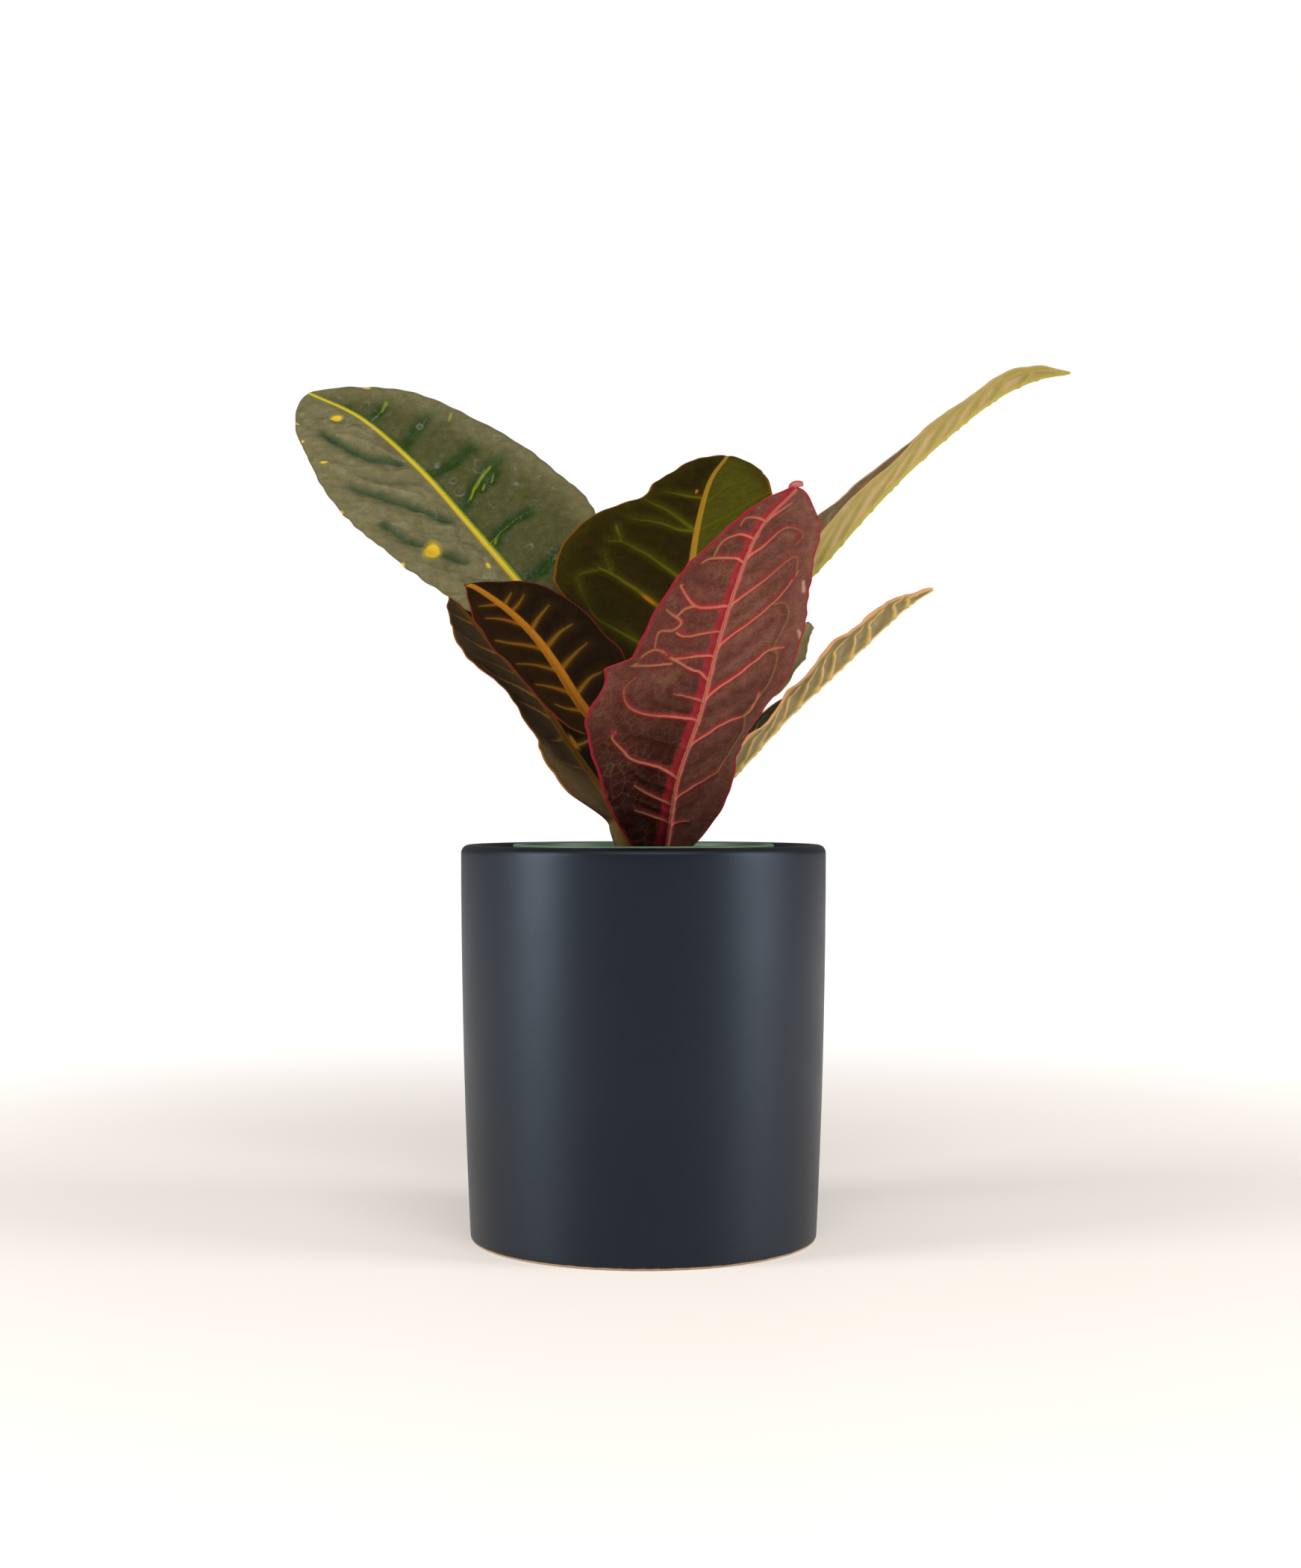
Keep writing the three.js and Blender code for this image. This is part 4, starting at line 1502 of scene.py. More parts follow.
@dataclass(frozen=True)
class SoilFinish:
    """A crumbly material: dark peat, bark or pale grains, by its colours."""

    name: str
    dark: Colour
    pale: Colour
    grain: float = 1.2
    roughness: float = 0.92

    PATCH_GRAINS = 9
    GRAIN_HEIGHT = 0.4

    def build(self) -> bpy.types.Material:
        """Make the material.

        Returns:
            The material.
        """
        graph = Graph(self.name, self.roughness)
        place = graph.place()
        crumb = graph.noise(place, self.grain * MM, 5.0, 0.65)
        patch = graph.noise(place, self.grain * self.PATCH_GRAINS * MM, 3.0)
        shade = graph.scale(patch, 0.6, graph.times(crumb, 0.7))
        graph.colour(graph.blend(graph.step(shade, 0.4, 0.95), self.dark, self.pale))
        graph.roughness(graph.scale(crumb, -0.15, self.roughness))
        graph.bump(crumb, self.GRAIN_HEIGHT * MM, 0.8)
        return graph.material


@dataclass(frozen=True)
class Lumps:
    """Loose lumps of one kind.

    sizes holds the smallest and the largest half length, form a lump's length, width and height as shares of
    its size, and seed that of places and shapes.
    """

    name: str
    count: int
    sizes: tuple[float, float]
    form: Point
    finish: SoilFinish
    seed: int


PEAT = SoilFinish("peat", paint(26, 19, 14), paint(66, 50, 36))
BARK_CHIPS = SoilFinish("bark_chips", paint(52, 34, 22), paint(112, 80, 54), 2, 0.85)
PALE_GRAINS = SoilFinish("pale_grains", paint(196, 192, 182), paint(232, 230, 224), 0.8, 0.9)


@dataclass
class PottingMix:
    """The soil: an uneven surface round the stem, with loose crumbs, bark and pale grains on it."""

    pot: NurseryPot
    top: float = 106
    mound: float = 2.5
    foot_round: float = 3
    stem_hole: float = 5.6
    stem_foot: float = 77
    rings: int = 64
    sides: int = 160
    loose: tuple[Lumps, ...] = (
        Lumps("mix_crumbs", 520, (0.5, 1.5), (1.0, 0.8, 0.6), PEAT, 21),
        Lumps("mix_bark_chips", 120, (1.2, 3.4), (1.0, 0.5, 0.28), BARK_CHIPS, 22),
        Lumps("mix_pale_grains", 110, (0.6, 1.5), (1.0, 0.9, 0.8), PALE_GRAINS, 23),
    )

    WAVES = ((0.7, 13, 3), (0.45, 5, 4), (0.3, 2.4, 5))
    EDGE_CALM = 6
    TILT = 0.5
    SUNK = 0.25
    UNEVEN = 0.16

    def radius(self, z: float) -> float:
        """Outside radius at a height."""
        return self.pot.outside(z) - self.pot.wall - GAP

    def height(self, x: np.ndarray, y: np.ndarray) -> np.ndarray:
        """Give the height of the surface.

        Args:
            x: Places to the right of the pot's axis.
            y: Places behind it.

        Returns:
            The heights in millimetres.
        """
        edge = self.radius(self.top)
        away = np.hypot(x, y)
        rough = sum(height * ripple(x, y, size, seed) for height, size, seed in self.WAVES)
        calm = 0.35 + 0.65 * smoothstep(edge - away, 0, self.EDGE_CALM)
        return self.top + self.mound * (1 - away / edge) + rough * calm

    def ring(self, radius: float, z: float | None = None) -> np.ndarray:
        """Give a ring of points.

        Args:
            radius: Its radius.
            z: Its height, or None for the surface's.

        Returns:
            A row for each point.
        """
        angles = np.linspace(0, FULL_TURN, self.sides, endpoint=False)
        x, y = radius * np.cos(angles), radius * np.sin(angles)
        return np.stack([x, y, self.height(x, y) if z is None else np.full(self.sides, z)], -1)

    def build(self) -> None:
        """Make the soil and what lies loose on it."""
        bottom = self.pot.foot + self.pot.wall + GAP
        rings = [self.ring(self.radius(bottom) - self.foot_round, bottom)]
        rings += [self.ring(self.radius(z), z) for z in (bottom + self.foot_round, 60, 98)]
        edge = self.radius(self.top)
        rings += [self.ring(radius) for radius in np.linspace(edge, self.stem_hole, self.rings)]
        rings += [self.ring(self.stem_hole, z) for z in (self.top - 6, self.stem_foot - GAP)]
        soil = ring_object("potting_mix_fine", np.array(rings), PEAT.build())
        seat(soil, "potting_mix", "potting_mix")
        for lumps in self.loose:
            seat(self.scatter(lumps), "potting_mix")

    def scatter(self, lumps: Lumps) -> bpy.types.Object:
        """Strew lumps over the surface as one piece.

        Args:
            lumps: The lumps.

        Returns:
            The piece.
        """
        draw = np.random.default_rng(lumps.seed)
        small, large = lumps.sizes
        edge = self.radius(self.top) - large
        work = bmesh.new()
        for _ in range(lumps.count):
            away = math.sqrt(draw.uniform((self.stem_hole + large) ** 2, edge**2))
            angle = draw.uniform(0, FULL_TURN)
            x, y = away * math.cos(angle), away * math.sin(angle)
            size = small + (large - small) * draw.uniform(0, 1) ** 2
            z = float(self.height(np.array([x]), np.array([y]))[0]) + self.SUNK * size * lumps.form[2]
            tilt = Matrix.Identity(4)
            for axis in ("X", "Y"):
                tilt = tilt @ Matrix.Rotation(draw.uniform(-self.TILT, self.TILT), 4, axis)
            turn = Matrix.Rotation(draw.uniform(0, FULL_TURN), 4, "Z")
            scale = Matrix.Diagonal((*(size * part * MM for part in lumps.form), 1))
            matrix = Matrix.Translation(Vector((x, y, z)) * MM) @ turn @ tilt @ scale
            made = bmesh.ops.create_icosphere(work, subdivisions=2, radius=1.0, matrix=matrix)
            for vertex in made["verts"]:
                vertex.co += Vector(draw.uniform(-1, 1, 3)) * self.UNEVEN * size * MM
        mesh = bpy.data.meshes.new(lumps.name)
        work.to_mesh(mesh)
        work.free()
        mesh.materials.append(lumps.finish.build())
        return place_mesh(lumps.name, mesh)


@dataclass(frozen=True)
class BarkFinish:
    """Grey-brown young bark with fine cracks, turning green towards the growing tip."""

    dark: Colour = paint(74, 62, 44)
    pale: Colour = paint(136, 122, 92)
    green: Colour = paint(96, 104, 56)
    crack: float = 1.2
    crack_stretch: float = 0.35
    crack_depth: float = 0.3
    patch: float = 9
    green_from: float = 125
    green_to: float = 165

    def build(self) -> bpy.types.Material:
        """Make the material.

        Returns:
            The material.
        """
        graph = Graph("stem_bark", 0.75)
        place = graph.place()
        crack = graph.noise(graph.stretched(place, self.crack_stretch), self.crack * MM, 5.0, 0.7)
        patch = graph.noise(place, self.patch * MM, 3.0)
        colour = graph.blend(graph.step(crack, 0.35, 0.7), self.dark, self.pale)
        high = graph.step(graph.apart(place)[2], self.green_from * MM, self.green_to * MM)
        graph.colour(graph.blend(graph.times(high, graph.scale(patch, 0.5, 0.45)), colour, self.green))
        graph.bump(crack, self.crack_depth * MM, 0.8)
        return graph.material


@dataclass
class Stem:
    """The woody stem, with a swelling and a scar where each leaf was attached."""

    axis: tuple[Point, ...] = ((0, 0, 77), (0, 0, 112), (1, 0.5, 140), (2, 2, 168.5))
    foot_radius: float = 5.2
    top_radius: float = 3.3
    node_swell: float = 0.5
    node_spacing: float = 7
    dome_from: float = 0.94
    dome_end: float = 0.22
    steps: int = 220
    sides: int = 48
    finish: BarkFinish = field(default_factory=BarkFinish)

    LOWEST_SCAR = 112
    HIGHEST_SCAR = 160
    SCAR_TURN = 2.4
    SCAR_RADIUS = 1.6
    SCAR_LINE = 0.4
    SCAR_HEIGHT = 0.35
    SMOOTH_FROM = 0.97

    def build(self) -> None:
        """Make the stem."""
        curve = Curve(self.axis)
        share = np.linspace(0, 1, self.steps)
        place, way = curve.at(share * curve.length)
        side = unit(np.array([1.0, 0, 0]) - way * way[:, :1])
        other = np.cross(way, side)
        angle = np.linspace(0, FULL_TURN, self.sides, endpoint=False)[None, :]
        radius = self.radius(share, place[:, 2]) + 0 * angle
        radius = radius + self.bark(angle, place[:, 2:]) * (share[:, None] < self.SMOOTH_FROM)
        rings = (
            place[:, None, :]
            + side[:, None, :] * (radius * np.cos(angle))[..., None]
            + other[:, None, :] * (radius * np.sin(angle))[..., None]
        )
        piece = ring_object("stem_fine", rings, self.finish.build())
        seat(piece, "stem_bark", "stem")

    def radius(self, share: np.ndarray, z: np.ndarray) -> np.ndarray:
        """Give the stem's radius, with its domed end and its swellings.

        Args:
            share: Share of the stem's length.
            z: Height in millimetres.

        Returns:
            A row for each share.
        """
        dome = np.clip((share - self.dome_from) / (1 - self.dome_from), 0, 1)
        domed = np.maximum(self.dome_end, np.sqrt(1 - dome**2))
        swell = self.node_swell * np.maximum(0, np.cos(FULL_TURN * z / self.node_spacing)) ** 4
        return (between((self.foot_radius, self.top_radius), share) * domed + swell)[:, None]

    def bark(self, angle: np.ndarray, z: np.ndarray) -> np.ndarray:
        """Give the height of the bark's unevenness and of its ring-shaped leaf scars.

        Args:
            angle: Directions round the stem.
            z: Heights in millimetres.

        Returns:
            The height in millimetres, a row for each z.
        """
        fine = 0.12 * ripple(6 * angle, 0 * angle + z, 2.2, 8)
        furrows = 0.16 * ripple(14 * angle, 0.4 * z + 0 * angle, 3.0, 9)
        scars = np.zeros(np.broadcast(angle, z).shape)
        for k, level in enumerate(np.arange(self.LOWEST_SCAR, self.HIGHEST_SCAR, self.node_spacing)):
            around = np.angle(np.exp(1j * (angle - self.SCAR_TURN * k))) * 4.2
            off = np.hypot(around, z - level) - self.SCAR_RADIUS
            scars += self.SCAR_HEIGHT * np.exp(-((off / self.SCAR_LINE) ** 2))
        return fine + furrows + scars


# Upper face of the green leaf. The left tint is painted sheen, the grey-brown reflection of the bright
# surrounding on the glossy left half, and the lighter ridge paints sheen on the puffs. The dark green vein,
# halo and valley are the blade's green and partly painted shade in the creases below the folds. The crest
# colour is a painted highlight along the folds, and the dust strength adds a film of painted sheen.
GREEN_UPPER = LeafFinish(
    valley=paint(30, 52, 14), ridge=paint(66, 66, 34), vein=paint(34, 60, 30), vein_end=paint(138, 142, 26),
    midrib=paint(196, 166, 40), halo=paint(34, 52, 16), margin=paint(96, 84, 54), halo_strength=0.7,
    beside=(paint(120, 116, 50), paint(140, 150, 14)), beside_width=(2.0, 0.8), midrib_width=(2.1, 0.7),
    margin_width=0.5, left=Tint(paint(114, 106, 74), 0.75), rim=Tint(paint(102, 96, 64), 0.7),
    spot=paint(206, 170, 30), dust_and_sheen=0.5, marks=0.45, vein_soft=1.1, groove=paint(190, 152, 46), mottle=0.45,
    rim_reach=21.0, crest_highlight=paint(122, 112, 100), halo_width=6.0, shine=0.06, ragged=0.6,
)
GREEN_UNDER = LeafFinish(
    valley=paint(104, 112, 70), ridge=paint(122, 118, 84), vein=paint(168, 168, 90),
    vein_end=paint(150, 150, 90), midrib=paint(206, 196, 96), halo=paint(140, 146, 76),
    margin=paint(120, 110, 60), dust_and_sheen=0.15,
)
OLIVE_UPPER = LeafFinish(
    valley=paint(44, 37, 2), ridge=paint(34, 26, 1), vein=paint(104, 92, 12), vein_end=paint(74, 74, 8),
    midrib=paint(140, 104, 28), halo=paint(62, 58, 4), margin=paint(104, 62, 14), vein_strength=0.65,
    halo_strength=0.45, halo_width=2.2, midrib_width=(3.0, 1.4), margin_width=0.7,
    right=Tint(paint(70, 66, 12), 0.8), rim=Tint(paint(52, 43, 4), 0.6), spot=paint(152, 86, 16), dust_and_sheen=0.02,
    shine=0.03, roughness=0.6, vein_soft=0.9, midrib_root=paint(120, 78, 14),
)
OLIVE_UNDER = LeafFinish(
    valley=paint(96, 74, 50), ridge=paint(108, 88, 60), vein=paint(190, 150, 90),
    vein_end=paint(170, 140, 80), midrib=paint(206, 160, 92), halo=paint(140, 92, 60),
    margin=paint(150, 84, 44), dust_and_sheen=0.15,
)
DARK_UPPER = LeafFinish(
    valley=paint(34, 20, 4), ridge=paint(24, 13, 3), vein=paint(128, 80, 16), vein_end=paint(98, 84, 18),
    midrib=paint(150, 94, 22), halo=paint(86, 50, 8), margin=paint(90, 34, 20), halo_strength=0.5,
    halo_width=1.6, midrib_width=(4.0, 1.9), margin_width=0.45, dust_and_sheen=0.02, left=Tint(paint(44, 25, 6), 0.4),
    shine=0.03, roughness=0.6, vein_soft=0.9, midrib_root=paint(112, 68, 16), vein_strength=0.75,
)
DARK_UNDER = LeafFinish(
    valley=paint(88, 44, 36), ridge=paint(100, 54, 44), vein=paint(214, 130, 90),
    vein_end=paint(190, 120, 80), midrib=paint(222, 140, 96), halo=paint(150, 56, 50),
    margin=paint(166, 60, 46), dust_and_sheen=0.15, midrib_root=paint(74, 58, 30),
)
# Upper face of the golden-veined leaf. Its grey-brown valley and ridge are partly painted sheen, the
# reflection of the bright surrounding on the glossy blade, and its dark right tint is painted shade over the
# right half.
GOLDEN_UPPER = LeafFinish(
    valley=paint(70, 52, 28), ridge=paint(82, 64, 38), vein=paint(176, 126, 46),
    vein_end=paint(130, 98, 46), midrib=paint(134, 94, 28), halo=paint(116, 80, 36),
    margin=paint(140, 88, 36), halo_strength=0.6, halo_width=2.4, midrib_width=(5.0, 2.6), margin_width=0.6,
    right=Tint(paint(28, 21, 5), 1.3), spot=paint(180, 124, 32), dust_and_sheen=0.08, shine=0.05, roughness=0.58,
    vein_soft=0.9, groove=paint(120, 82, 26), midrib_root=paint(84, 64, 26), vein_strength=1.0,
)
# Underside of the red front leaf. Its dark right tint is painted shade on the right half and its pale left
# tint painted light on the left half; the crest colour is a painted highlight on the folds near its edge, and
# the dust strength adds a film of painted sheen.
RED_UNDER = LeafFinish(
    valley=paint(88, 47, 38), ridge=paint(104, 61, 50), vein=paint(178, 110, 84),
    vein_end=paint(108, 88, 46), midrib=paint(176, 108, 82), halo=paint(146, 32, 44),
    margin=paint(134, 28, 42), vein_strength=0.95, vein_soft=0.8, halo_width=1.5, halo_strength=0.85,
    midrib_width=(1.3, 0.8), groove=paint(132, 66, 48), beside=(paint(170, 74, 78), paint(142, 34, 44)),
    beside_width=(3.6, 2.2), margin_width=0.7, net=paint(108, 92, 54), net_strength=0.38, net_cell=4.0,
    right=Tint(paint(70, 34, 30), 0.18), root=Tint(paint(40, 12, 6), 0.92), dust_and_sheen=0.55,
    dust_and_sheen_colour=paint(176, 156, 150), mottle=0.6, shine=0.03, roughness=0.55, film=0.3,
    spot=paint(128, 38, 44), crest_highlight=paint(184, 148, 126), root_reach=0.84, root_left=0.5,
    left=Tint(paint(124, 84, 72), 0.12), beside_left=0.5,
)
RED_CURL = LeafFinish(
    valley=paint(170, 96, 84), ridge=paint(180, 108, 94), vein=paint(184, 110, 96),
    vein_end=paint(184, 110, 96), midrib=paint(172, 96, 88), halo=paint(170, 90, 84),
    margin=paint(146, 66, 62), midrib_width=(0.4, 0.2), margin_width=0.2, dust_and_sheen=0.0,
)
RED_UPPER = LeafFinish(
    valley=paint(40, 34, 16), ridge=paint(58, 44, 22), vein=paint(206, 110, 50),
    vein_end=paint(180, 100, 50), midrib=paint(220, 110, 60), halo=paint(150, 48, 36),
    margin=paint(170, 48, 52), dust_and_sheen=0.2, spot=paint(150, 44, 44),
)
# Underside of the right upper leaf. Its lighter ridge and darker valley paint light and shade onto the pleats
# between the veins, over the blade's own yellow-olive.
YELLOW_UNDER = LeafFinish(
    valley=paint(126, 112, 46), ridge=paint(166, 140, 90), vein=paint(166, 146, 68),
    vein_end=paint(178, 150, 94), midrib=paint(164, 148, 60), halo=paint(150, 138, 62),
    margin=paint(152, 134, 62), halo_strength=0.2, beside=(paint(158, 144, 62), paint(158, 144, 62)),
    beside_width=(3.6, 2.0), midrib_width=(3.0, 1.6), margin_width=0.5, dust_and_sheen=0.0, grain=0.0, shine=0.15,
    roughness=0.6, mottle=0.0, vein_strength=0.55, vein_soft=1.3, halo_width=4.0, ragged=0.0,
)
YELLOW_UPPER = LeafFinish(
    valley=paint(84, 66, 44), ridge=paint(100, 78, 54), vein=paint(128, 106, 64),
    vein_end=paint(116, 94, 60), midrib=paint(214, 196, 90), halo=paint(150, 120, 70),
    margin=paint(172, 132, 84), dust_and_sheen=0.3,
)
GREY_UNDER = LeafFinish(
    valley=paint(104, 90, 54), ridge=paint(130, 112, 74), vein=paint(196, 160, 90),
    vein_end=paint(196, 154, 98), midrib=paint(196, 162, 90), halo=paint(150, 144, 60),
    margin=paint(186, 138, 88), midrib_width=(2.0, 1.2), margin_width=1.1, dust_and_sheen=0.1,
    grain=0.2, shine=0.2, roughness=0.55, mottle=0.2, midrib_root=paint(188, 176, 84), vein_soft=0.9,
    ragged=0.4,
)
GREY_UPPER = LeafFinish(
    valley=paint(34, 34, 10), ridge=paint(48, 46, 18), vein=paint(150, 130, 50),
    vein_end=paint(120, 110, 40), midrib=paint(200, 170, 60), halo=paint(90, 80, 28),
    margin=paint(190, 120, 60), dust_and_sheen=0.15,
)
REAR_UPPER = LeafFinish(
    valley=paint(142, 126, 80), ridge=paint(158, 142, 96), vein=paint(156, 144, 90),
    vein_end=paint(150, 138, 88), midrib=paint(150, 136, 60), halo=paint(140, 126, 82),
    margin=paint(128, 112, 64), dust_and_sheen=0.3,
)
YOUNG_FACE = LeafFinish(
    valley=paint(108, 124, 44), ridge=paint(132, 144, 58), vein=paint(196, 196, 90),
    vein_end=paint(170, 176, 80), midrib=paint(214, 208, 96), halo=paint(150, 160, 66),
    margin=paint(176, 110, 66), halo_strength=0.2, midrib_width=(1.2, 0.5), margin_width=0.3, dust_and_sheen=0.0,
    roughness=0.35, shine=0.5,
)

# On the left half the wide creases paint dark green bands, the blade's green and partly painted shade below
# each raised fold; each fold takes the crest colour, a painted highlight.
GREEN_VEINS = (
    Vein(((0.83, -1.5), (0.87, -6.5), (0.915, -9.5), (0.945, -14)), (2.0, 1.6), (0, 0), 0.2, -0.2),
    Vein(((0.69, -4), (0.74, -12.5), (0.8, -16), (0.865, -17)), (3.2, 5.0), (0, 0), 0.4, 0.8),
    Vein(((0.62, -3), (0.65, -13), (0.7, -21)), (2.2, 1.8), (0, 0), 0.2, 0.0),
    Vein(((0.49, -5), (0.55, -12), (0.62, -20), (0.675, -27)), (3.4, 5.0), (0, 0), 0.4, 0.7),
    Vein(((0.4, -1), (0.445, -9), (0.49, -17)), (1.0, 0.7), (0.8, 0.4), 0.2, -0.1),
    Vein(((0.37, -11), (0.42, -17), (0.48, -24), (0.54, -27)), (3.4, 4.8), (0, 0), 0.4, 0.7),
    Vein(((0.27, -2), (0.31, -10), (0.365, -18)), (1.8, 2.2), (0, 0), 0.2, -0.3),
    Vein.fold(((0.77, -3), (0.845, -6), (0.9, -10), (0.935, -14.5)), (1.0, 0.8), -0.1),
    Vein.fold(((0.69, -2.5), (0.73, -6), (0.79, -10), (0.835, -14.5)), (1.2, 0.8), 0.0),
    Vein.fold(((0.57, -8), (0.62, -15), (0.67, -21), (0.73, -25), (0.775, -29)), (1.2, 1.0), 0.2),
    Vein.fold(((0.7, -15), (0.72, -21), (0.755, -26)), (1.4, 1.0), -0.2),
    Vein.fold(((0.41, -2), (0.45, -10), (0.495, -18), (0.54, -25.5), (0.59, -33)), (1.2, 1.0), 0.1),
    Vein.fold(((0.285, -4), (0.33, -13), (0.37, -22), (0.41, -28)), (1.4, 1.0), 0.0),
    Vein(((0.83, 2), (0.84, 12)), (0.8, 0.9), (0.7, 1), 0.5, 0.2),
    Vein(((0.725, 3), (0.74, 10), (0.755, 18)), (0.7, 0.8), (0.4, 0.8), 0.5, -0.2),
    Vein(((0.62, 3), (0.62, 12), (0.63, 22)), (0.8, 0.6), (0.2, 0.4), 0.5, -0.6),
    Vein(((0.51, 5), (0.53, 8), (0.565, 22), (0.57, 28)), (0.7, 0.7), (0.6, 0.9), 0.5, -0.1),
    Vein(((0.39, 1), (0.405, 7), (0.415, 15), (0.41, 20)), (0.8, 0.6), (0.9, 0.6), 0.5, 0.4),
    Vein(((0.255, 2), (0.26, 8), (0.275, 17), (0.28, 26)), (0.8, 0.8), (0.5, 0.8), 0.5, -0.1),
    Vein(((0.14, 1), (0.15, 12), (0.17, 24)), (0.8, 0.6), (0.5, 0.5), 0.5, -0.3),
    Vein.fleck(((0.52, 7), (0.53, 9), (0.54, 11)), (0.9, 1.2), 0.6),
    Vein.fleck(((0.54, 11.5), (0.555, 16), (0.565, 21)), (1.6, 1.3), 0.5),
    Vein.fleck(((0.525, 13), (0.535, 15)), (1.1, 1.0), 0.4),
    Vein.fleck(((0.53, 17.5), (0.545, 20)), (1.0, 0.9), 0.3),
    Vein.fleck(((0.835, 8), (0.845, 12)), (1.0, 1.2), 0.5),
    Vein.fleck(((0.72, 23), (0.73, 25.5)), (1.1, 0.9), 0.6),
    Vein.fleck(((0.385, 3), (0.4, 5)), (1.2, 1.2), 0.4),
    Vein.fleck(((0.275, 16), (0.28, 20)), (1.0, 1.0), 0.3),
)
GREEN_SPOTS = (
    Spot(0.89, -6.5, 2.4, 1.3, -45),
    Spot(0.77, -28.5, 1.5, 0.8, -50),
    Spot(0.425, -19, 4.3, 2.8, 35),
    Spot(0.9, 13, 1.4, 0.5, -30),
    Spot(0.335, -5, 1.5, 0.7, 10),
    Spot(0.435, 33.5, 0.5, 0.5),
    Spot(0.935, -19.5, 1.2, 0.4),
    Spot(0.875, -26, 0.9, 0.5),
    Spot(0.62, -37, 0.9, 0.5),
    Spot(0.415, -31.5, 1.1, 0.5),
)
OLIVE_VEINS = (
    Vein(((0.725, -1), (0.735, -7), (0.75, -15)), (1.2, 0.6), (0.2, 1)),
    Vein(((0.575, -1), (0.615, -6), (0.655, -12), (0.7, -21)), (1.4, 0.6), (0.5, 1)),
    Vein(((0.57, -1.5), (0.58, -8), (0.6, -14), (0.61, -25)), (1.2, 0.4), (0.3, 1)),
    Vein(((0.36, -1), (0.39, -5), (0.455, -14), (0.49, -20), (0.52, -26), (0.52, -31)), (1.4, 0.5),
         (0.3, 1)),
    Vein(((0.52, -26), (0.575, -29)), (0.6, 1.0), (0.6, 0.2)),
    Vein(((0.18, -1), (0.265, -9.5), (0.34, -21), (0.38, -27), (0.41, -32.5)), (2.0, 0.8), (0, 0.4)),
    Vein(((0.385, -27.5), (0.48, -32)), (0.7, 0.3), (0.7, 1)),
    Vein(((0.4, -32.5), (0.37, -39), (0.305, -37.5), (0.23, -32.5)), (0.6, 0.5), (0.8, 1)),
    Vein(((0.05, -1), (0.125, -13.5), (0.19, -28.5), (0.23, -32.5)), (1.4, 0.6), (0.3, 1)),
    Vein(((0.575, 1), (0.61, 6), (0.64, 11.5), (0.685, 16.5), (0.72, 24)), (1.3, 0.7), (0.9, 1)),
    Vein(((0.7, 0.5), (0.74, 4), (0.78, 6.5), (0.8, 13.5)), (1.0, 0.5), (1, 1)),
    Vein(((0.42, 1), (0.47, 10), (0.53, 22)), (1.2, 0.6), (0.4, 1)),
    Vein(((0.26, 1), (0.31, 10), (0.38, 22)), (1.2, 0.6), (0.4, 1)),
    Vein(((0.11, 1), (0.17, 12), (0.25, 24)), (1.2, 0.6), (0.4, 1)),
)
OLIVE_SPOTS = (Spot(0.755, -3.5, 1.0, 0.5), Spot(0.285, -13, 3.4, 0.7, -52))
DARK_VEINS = (
    Vein(((0.78, 0.5), (0.8, 6)), (1.2, 0.5), (0, 0.8)),
    Vein(((0.735, 1), (0.74, 4), (0.755, 8.5)), (1.0, 0.5), (0.4, 1)),
    Vein(((0.605, 0.5), (0.63, 5), (0.65, 11.5)), (1.5, 0.5), (0.2, 0.9)),
    Vein(((0.5, 1), (0.525, 7.5), (0.525, 13)), (1.7, 0.5), (0.3, 1)),
    Vein(((0.38, 1), (0.41, 8), (0.425, 13.5)), (1.6, 0.5), (0.3, 0.9)),
    Vein(((0.245, 1), (0.28, 7.5), (0.28, 12)), (1.6, 0.6), (0.2, 0.8)),
    Vein(((0.12, 1), (0.15, 8)), (1.4, 0.6), (0.2, 0.8)),
    Vein(((0.66, -1), (0.725, -4.5), (0.775, -8.5)), (1.3, 0.7), (0, 0.2)),
    Vein(((0.505, -1), (0.56, -5.5), (0.605, -9.5), (0.645, -12.5)), (1.3, 0.8), (0.2, 0.6)),
    Vein(((0.385, -1), (0.445, -6.5), (0.48, -12)), (1.2, 0.5), (0.2, 0.8)),
    Vein(((0.255, -0.5), (0.31, -5), (0.36, -10)), (1.4, 0.5), (0, 0.5)),
    Vein(((0.16, -0.5), (0.21, -6), (0.24, -8)), (1.2, 0.5), (0.2, 0.9)),
    Vein(((0.8, -0.5), (0.85, -6)), (1.0, 0.5), (0, 0.5)),
)
GOLDEN_VEINS = (
    Vein(((0.865, -0.5), (0.88, -8), (0.9, -14)), (1.4, 0.6), (0.1, 0.8)),
    Vein(((0.73, -0.5), (0.73, -9), (0.75, -16.5), (0.78, -20)), (2.2, 0.6), (0, 0.8)),
    Vein(((0.63, -1), (0.64, -9), (0.66, -18)), (1.2, 0.4), (0.5, 1)),
    Vein(((0.515, -1), (0.54, -9), (0.55, -18), (0.6, -21.5)), (2.6, 0.7), (0, 0.6)),
    Vein(((0.42, -1), (0.435, -7), (0.435, -16.5)), (2.2, 0.5), (0, 0.8)),
    Vein(((0.335, -0.5), (0.31, -6), (0.3, -10.5)), (1.5, 0.5), (0.2, 0.9)),
    Vein(((0.21, -0.5), (0.2, -8), (0.2, -14)), (0.9, 0.3), (0.7, 1)),
    Vein(((0.3, 0.5), (0.33, 8), (0.37, 16)), (1.4, 0.5)),
    Vein(((0.46, 0.5), (0.5, 9), (0.54, 17)), (1.4, 0.5)),
    Vein(((0.62, 0.5), (0.66, 9), (0.7, 16)), (1.4, 0.5)),
    Vein(((0.77, 0.5), (0.81, 8), (0.84, 13))),
    Vein(((0.14, 0.5), (0.17, 8), (0.2, 15))),
)
